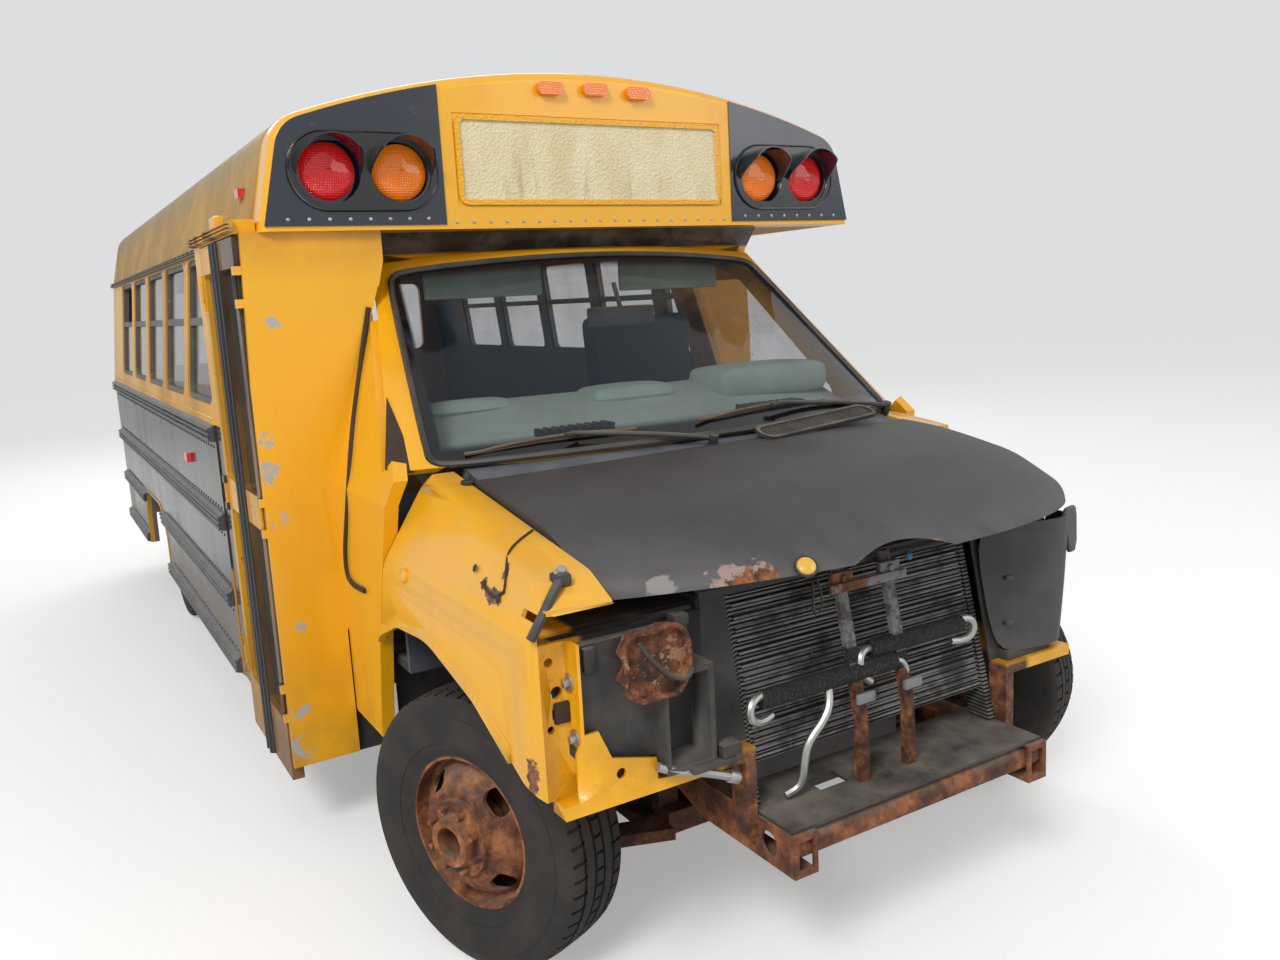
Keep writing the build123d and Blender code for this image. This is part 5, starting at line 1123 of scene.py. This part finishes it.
# Left nose: the fender and the outer support are torn away there, and one bent cover stands beside the core
leftNose = {"beyond": 0.3, "fenderCut": (0.95, 0.13, 1.0), "fenderWay": (0.05, 1.0, 0.25), "supportCut": 0.705,
            "coverThick": 0.006, "flapThick": 0.016, "flapFace": -0.520, "flapSlant": 0.4, "footLevel": 0.672,
            "middleLevel": 0.845, "headLevel": 1.030, "headDip": 0.10, "share": 0.55, "bulge": 0.006,
            "weld": 0.00002}


def tornCopy(nodeName, place, way, keepOuter):
    # a copy of the piece, cut on its left side only
    torn = editAll(twinOf(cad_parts[nodeName]), lambda: bpy.ops.mesh.remove_doubles(threshold=leftNose["weld"]))
    pickFaces(torn, lambda face: face.center.x > leftNose["beyond"])
    bpy.ops.mesh.bisect(plane_co=place, plane_no=way, clear_inner=keepOuter, clear_outer=not keepOuter, use_fill=True)
    enter("OBJECT")
    return torn


tornFenders = tornCopy("fenders", at(*leftNose["fenderCut"]), leftNose["fenderWay"], True)
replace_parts(finishPiece([tornFenders], "torn_fenders", "fenderYellow"), "fenders")
tornSupport = tornCopy("core_support", (leftNose["supportCut"], 0, 0), (1, 0, 0), False)
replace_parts(finishPiece([tornSupport], "torn_support", "bayYellow"), "core_support")
mountPlates = tornCopy("headlamp_mounts", (leftNose["beyond"], 0, 0), (1, 0, 0), False)
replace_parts(finishPiece([mountPlates], "mount_plates", "blackPlastic"), "headlamp_mounts")
coverFoot = ((0.432, -0.520), (0.520, -0.548), (0.600, -0.562), (0.655, -0.560), (0.690, -0.535), (0.700, -0.490),
             (0.702, -0.430))
coverHead = ((0.436, -0.440), (0.520, -0.500), (0.620, -0.545), (0.690, -0.552), (0.735, -0.530), (0.750, -0.490),
             (0.752, -0.430))
near, far = 1 - leftNose["share"], leftNose["share"]
foot = addPath([at(x, y, leftNose["footLevel"]) for x, y in coverFoot])
middle = addPath([at(x0 * near + x1 * far + leftNose["bulge"], y0 * near + y1 * far, leftNose["middleLevel"])
                  for (x0, y0), (x1, y1) in zip(coverFoot, coverHead)])
head = addPath([at(x, y, leftNose["headLevel"] - leftNose["headDip"] * max(0.0, 0.56 - x)) for x, y in coverHead])
cover = addSkin([foot, middle, head], leftNose["coverThick"], 2)
flapOutline = ((0.690, 1.018), (0.735, 1.045), (0.800, 1.040), (0.812, 1.010), (0.818, 0.930), (0.800, 0.900),
               (0.765, 0.905), (0.745, 0.93))
flap = addPlate([[at(x, leftNose["flapFace"] + leftNose["flapSlant"] * (x - 0.74), z) for x, z in flapOutline]],
                leftNose["flapThick"], 0.005)
clips = boxes(*[((0.452, -0.548, z), (0.482, -0.530, z + 0.012), 0.004) for z in (0.755, 0.885)])
finishPiece([cover, flap] + clips, "left_cover", "greyCover", angle=40)
finishPiece(boxes(((0.460, -0.545, 0.640), (0.640, -0.470, 0.676), 0.006)), "left_cover_foot", "blackPlastic")
print("left nose set")


# Coolers: aluminium return bends, feed pipes, and the cross plates on the straps
cooler = {"pipe": 0.0105, "straps": (-0.118, 0.042)}
bends = (
    ((-0.395, -0.548, 0.766), (-0.428, -0.552, 0.768), (-0.452, -0.560, 0.745), (-0.445, -0.560, 0.712),
     (-0.41, -0.552, 0.700), (-0.372, -0.540, 0.706)),
    ((0.265, -0.536, 0.808), (0.305, -0.540, 0.812), (0.325, -0.546, 0.790), (0.315, -0.546, 0.758),
     (0.285, -0.540, 0.748), (0.250, -0.530, 0.752)),
    ((-0.05, -0.536, 0.800), (-0.082, -0.545, 0.806), (-0.100, -0.552, 0.785), (-0.096, -0.556, 0.745),
     (-0.066, -0.556, 0.722)),
    ((0.010, -0.548, 0.758), (0.045, -0.556, 0.755), (0.056, -0.560, 0.720), (0.058, -0.560, 0.640),
     (0.060, -0.556, 0.580)),
    ((-0.205, -0.556, 0.735), (-0.212, -0.570, 0.695), (-0.250, -0.574, 0.655), (-0.292, -0.570, 0.622),
     (-0.300, -0.570, 0.560), (-0.302, -0.560, 0.510), (-0.345, -0.550, 0.497)))
finishPiece([addTube(places(*points), cooler["pipe"]) for points in bends], "cooler_pipes", "bareAluminium")
strapBits = []
for x in cooler["straps"]:
    strapBits += boxes(((x - 0.034, -0.520, 0.975), (x + 0.034, -0.502, 1.010), 0.004),
                       ((x - 0.030, -0.600, 0.690), (x + 0.030, -0.588, 0.716), 0.004))
    strapBits.append(addRod(at(x, -0.505, 0.993), at(x, -0.527, 0.993), 0.010, 6))
strapBits += boxes(((-0.165, -0.530, 0.960), (0.090, -0.519, 0.984), 0.003))
finishPiece(strapBits, "strap_plates", "strapRust")
looms = (  # radius, path
    (0.0035, ((-0.205, -0.505, 1.000), (-0.222, -0.530, 0.972), (-0.236, -0.540, 0.945), (-0.222, -0.536, 0.925))),
    (0.0030, ((-0.190, -0.505, 1.000), (-0.196, -0.532, 0.965), (-0.208, -0.540, 0.935), (-0.215, -0.536, 0.925))))
finishPiece([addTube(places(*points), radius) for radius, points in looms], "sensor_stubs", "blackPlastic")
finishPiece([addDome(at(0.128, -0.500, 1.004), (0, -1, 0.2), 0.012, 0.008, 12)], "sensor_cap", "capBlue")
print("coolers set")


# Hood: the amber lamp on the nose
hoodLamp = {"place": (-0.375, -0.688, 1.103), "facing": (-0.23, -0.67, 0.70), "rim": 0.027, "halfDepth": 0.004,
            "lens": 0.023, "lensFoot": 0.003, "lensHeight": 0.010}
lampAt, facing = at(*hoodLamp["place"]), Vector(hoodLamp["facing"]).normalized()
depth = facing * hoodLamp["halfDepth"]
finishPiece([addRod(lampAt - depth, lampAt + depth, hoodLamp["rim"], 28)], "hood_lamp_rim", "doorRubber", "hood")
finishPiece([addDome(lampAt + facing * hoodLamp["lensFoot"], facing, hoodLamp["lens"], hoodLamp["lensHeight"], 20)],
            "hood_lamp", "amberPale", "hood")

# Roof side: the base of the marker lamp. Cab: the interior mirror and the sun visors
finishPiece(boxes(((-1.166, 1.445, 2.000), (-1.120, 1.545, 2.060), 0.008)), "roof_marker_base", "shellYellow")
mirror = {"place": (-0.02, 0.73, -0.075), "low": (-0.130, -0.010, -0.034), "high": (0.130, 0.012, 0.034),
          "stemFoot": (0, 0, 0.02), "stemHead": (-0.02, 0.83, -0.006), "stem": 0.008, "bevel": 0.010}
mirrorAt = onScreen(*mirror["place"])
finishPiece([addBox(mirrorAt + Vector(mirror["low"]), mirrorAt + Vector(mirror["high"]), mirror["bevel"]),
             addRod(mirrorAt + Vector(mirror["stemFoot"]), onScreen(*mirror["stemHead"]), mirror["stem"])],
            "cab_mirror", "blackPlastic")
finishPiece(boxes(*[((x0, 0.985, 1.735), (x1, 1.005, 1.862), 0.009) for x0, x1 in ((-0.60, -0.16), (0.16, 0.60))]),
            "sun_visors", "cabGrey")

# Dashboard: a pad that rises from the glass, the instrument hood, a middle pod, and a shallow tray on the right
dash = {"half": 0.795, "bow": 0.20, "skin": 0.008, "taper": 0.03, "start": 0.14, "bevel": 0.045, "slotPitch": 0.028,
        "profile": ((0.055, 1.262), (0.20, 1.300), (0.34, 1.345), (0.50, 1.392), (0.60, 1.404), (0.640, 1.385),
                    (0.648, 1.225))}
humps = (((0.270, 0.500, 1.330), (0.760, 0.760, 1.455)), ((-0.200, 0.560, 1.340), (0.130, 0.760, 1.425)),
         ((-0.760, 0.640, 1.350), (-0.440, 0.765, 1.420)))
ribs = []
for step in range(-4, 5):
    x = dash["half"] * step / 4
    lean = dash["bow"] * (step / 4) ** 2
    ribs.append(addPath([at(x * (1 - dash["taper"] * index / 6), dash["start"] + y + lean * (1 - index / 6), z)
                         for index, (y, z) in enumerate(dash["profile"])]))
padded = [addSkin(ribs, dash["skin"], 2)]
for low, high in humps:
    padded.append(divided(addBox(at(*low), at(*high), dash["bevel"])))
finishPiece(padded, "dash_pad", "cabGrey", angle=60)
slots = [start + dash["slotPitch"] * step for start in (-0.52, 0.22) for step in range(9)]
finishPiece(boxes(*[((x, 0.300, 1.318), (x + 0.014, 0.372, 1.342), 0.002) for x in slots]), "dash_slots",
            "blackPlastic")
print("cab set")


# Tyres: one slice is spun from its section, the cross grooves are pressed in, and the slice is copied round
tyre = {"half": 0.1115, "steer": 21.3, "slices": 54, "slot": 0.22, "slotDepth": 0.007, "weld": 0.00005,
        "grooves": ((0.3655, 0.0465, 0.0880), (0.3700, 0.0, 0.0115))}  # radius, and how far across: from, to
section = [  # across, out from the axle: the inner wall, the bead, the side with its rings, the tread with its grooves
    (0.0, 0.352), (-0.060, 0.350), (-0.094, 0.330), (-0.103, 0.285), (-0.082, 0.215), (-0.0795, 0.2045),
    (-0.0885, 0.2045), (-0.0915, 0.214), (-0.0985, 0.222), (-0.1045, 0.240), (-0.1048, 0.243), (-0.1070, 0.244),
    (-0.1098, 0.262), (-0.1112, 0.283), (-0.1106, 0.304), (-0.1080, 0.320), (-0.1055, 0.3215), (-0.1040, 0.332),
    (-0.1015, 0.348), (-0.0960, 0.3575), (-0.0885, 0.3645), (-0.0840, 0.3672), (-0.0560, 0.3705), (-0.0550, 0.3620),
    (-0.0475, 0.3620), (-0.0465, 0.3712), (-0.0205, 0.3720), (-0.0195, 0.3630), (-0.0125, 0.3630), (-0.0115, 0.3720)]
section += [(-across, out) for across, out in section[:0:-1]]
sliceTurn = 2 * math.pi / tyre["slices"]
sliceEnd = sliceTurn * (1 - tyre["slot"])


def sweep(angle, steps, **settings):
    bpy.ops.mesh.spin(steps=steps, angle=angle, center=(0, 0, 0), axis=(1, 0, 0), **settings)


def angleOf(point):
    return abs(math.atan2(point.y, point.z))


def isRib(face):
    # the shoulder blocks and the middle rib, where a cross groove lies
    out, across = math.hypot(face.center.y, face.center.z), abs(face.center.x)
    return angleOf(face.center) > sliceEnd and any(out > radius and inner <= across < outer
                                                   for radius, inner, outer in tyre["grooves"])


tyreMesh = editAll(addPath([(across, 0, out) for across, out in section], True), lambda: sweep(sliceEnd, 2))
choose(tyreMesh)
for vertex in tyreMesh.data.vertices:
    vertex.select = angleOf(vertex.co) > sliceEnd - 1e-4
enter("EDIT")
bpy.ops.mesh.select_mode(type="VERT")
sweep(sliceTurn * tyre["slot"], 1)
pickAll()
faceOut()
enter("OBJECT")
pickFaces(tyreMesh, isRib)
bpy.ops.mesh.extrude_region_shrink_fatten(TRANSFORM_OT_shrink_fatten={"value": -tyre["slotDepth"]})
bpy.ops.mesh.select_mode(type="VERT")
pickAll()
sweep(2 * math.pi - sliceTurn, tyre["slices"] - 1, dupli=True)
pickAll()
bpy.ops.mesh.remove_doubles(threshold=tyre["weld"])
faceOut()
enter("OBJECT")


def placeTyre(centre, steer=0.0):
    twin = twinOf(tyreMesh)
    twin.rotation_euler = (0, 0, math.radians(steer))
    twin.location = centre
    return settle(twin)


for way in ("right", "left"):
    low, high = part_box("front_tyre_" + way)
    tread = finishPiece([placeTyre((low + high) / 2, tyre["steer"])], "front_tread_" + way, "tyreRubber",
                        "front_wheel_" + way, 40)
    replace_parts(tread, "front_tyre_" + way)
    low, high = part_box("rear_tyres_" + way)
    middle = (low + high) / 2
    pair = [placeTyre((x, middle.y, middle.z)) for x in (low.x + tyre["half"], high.x - tyre["half"])]
    tread = finishPiece(pair, "rear_treads_" + way, "tyreRubber", "rear_wheels_" + way, 40)
    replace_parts(tread, "rear_tyres_" + way)
bpy.data.objects.remove(tyreMesh)
print("tyres set")


# Stage, lights and camera
stage = {"floorTone": (0.80, 0.80, 0.79), "floorHalf": 60.0, "floorGlow": 0.32, "sky": (0.97, 0.985, 1.0, 1),
         "skyLight": 0.48, "skySeen": 0.74}
deselect()
bpy.ops.mesh.primitive_plane_add(size=2 * stage["floorHalf"], location=(0, 0, 0))
floor = bpy.context.object
floor.name = "studioFloor"
floorFinish = Finish("studioFloor", stage["floorTone"], 0.9)
floorRays = addNode(floorFinish.tree, "ShaderNodeLightPath").outputs
glow = floorFinish.mask(floorRays["Is Camera Ray"], stage["floorGlow"])
plug(floorFinish.tree, floorFinish.shader.inputs["Emission Color"], (1, 1, 1, 1))
plug(floorFinish.tree, floorFinish.shader.inputs["Emission Strength"], glow)
floorFinish.done()
dress(floor.data, "studioFloor")

world = bpy.data.worlds.new("studio")
bpy.context.scene.world = world
world.use_nodes = True
tree = world.node_tree
tree.nodes.clear()
rays = addNode(tree, "ShaderNodeLightPath").outputs
seen = calc(tree, "MAXIMUM", rays["Is Camera Ray"],
            calc(tree, "MAXIMUM", rays["Is Glossy Ray"], rays["Is Transmission Ray"]))
skyLevel = ramp(tree, seen, 0.0, 1.0, stage["skyLight"], stage["skySeen"])
sky = addNode(tree, "ShaderNodeBackground", {"Color": stage["sky"], "Strength": skyLevel})
addNode(tree, "ShaderNodeOutputWorld", {"Surface": sky.outputs[0]})

lamps = (  # name, place, aimed at, size, watts
    ("keyLamp", at(-6.5, -5.0, 8.0), at(-0.3, 0.6, 1.0), 3.0, 620),
    ("fillLamp", at(6.0, -7.0, 6.0), at(0, 0.5, 1.2), 6.0, 190),
    ("rearLamp", at(2.0, 10.0, 7.0), at(0, 3.0, 1.2), 6.0, 260))
for name, place, target, size, watts in lamps:
    bpy.ops.object.light_add(type="AREA", location=place)
    lamp = bpy.context.object
    lamp.name = name
    lamp.rotation_euler = (target - place).to_track_quat("-Z", "Y").to_euler()
    lamp.data.size = size
    lamp.data.energy = watts

# The photograph's camera: its centre is where the optical axis meets the picture, in the picture's own pixels
view = {"place": at(-1.8219, -2.4336, 1.7123), "turn": math.radians(-30.60), "down": math.radians(9.59),
        "roll": math.radians(-3.056), "lens": 29.335, "centre": (639.61, 472.56), "frame": (1280, 960),
        "sensor": 36.0, "reach": 100}
bpy.ops.object.camera_add(location=view["place"])
camera = bpy.context.object
camera.name = "photoCamera"
flat = math.cos(view["down"])
back = Vector((math.sin(view["turn"]) * flat, -math.cos(view["turn"]) * flat, math.sin(view["down"])))
level = (-back).cross(Vector((0, 0, 1))).normalized()
upright = level.cross(-back).normalized()
right = level * math.cos(view["roll"]) + upright * math.sin(view["roll"])
up = upright * math.cos(view["roll"]) - level * math.sin(view["roll"])
camera.matrix_world = Matrix.Translation(view["place"]) @ Matrix((right, up, back)).transposed().to_4x4()
camera.data.sensor_width = view["sensor"]
camera.data.lens = view["lens"]
width, height = view["frame"]
camera.data.shift_x = -(view["centre"][0] - width / 2) / width
camera.data.shift_y = (view["centre"][1] - height / 2) / width
camera.data.clip_end = view["reach"]
bpy.context.scene.camera = camera
bpy.context.scene.view_settings.view_transform = "Standard"
print("camera and lights set")
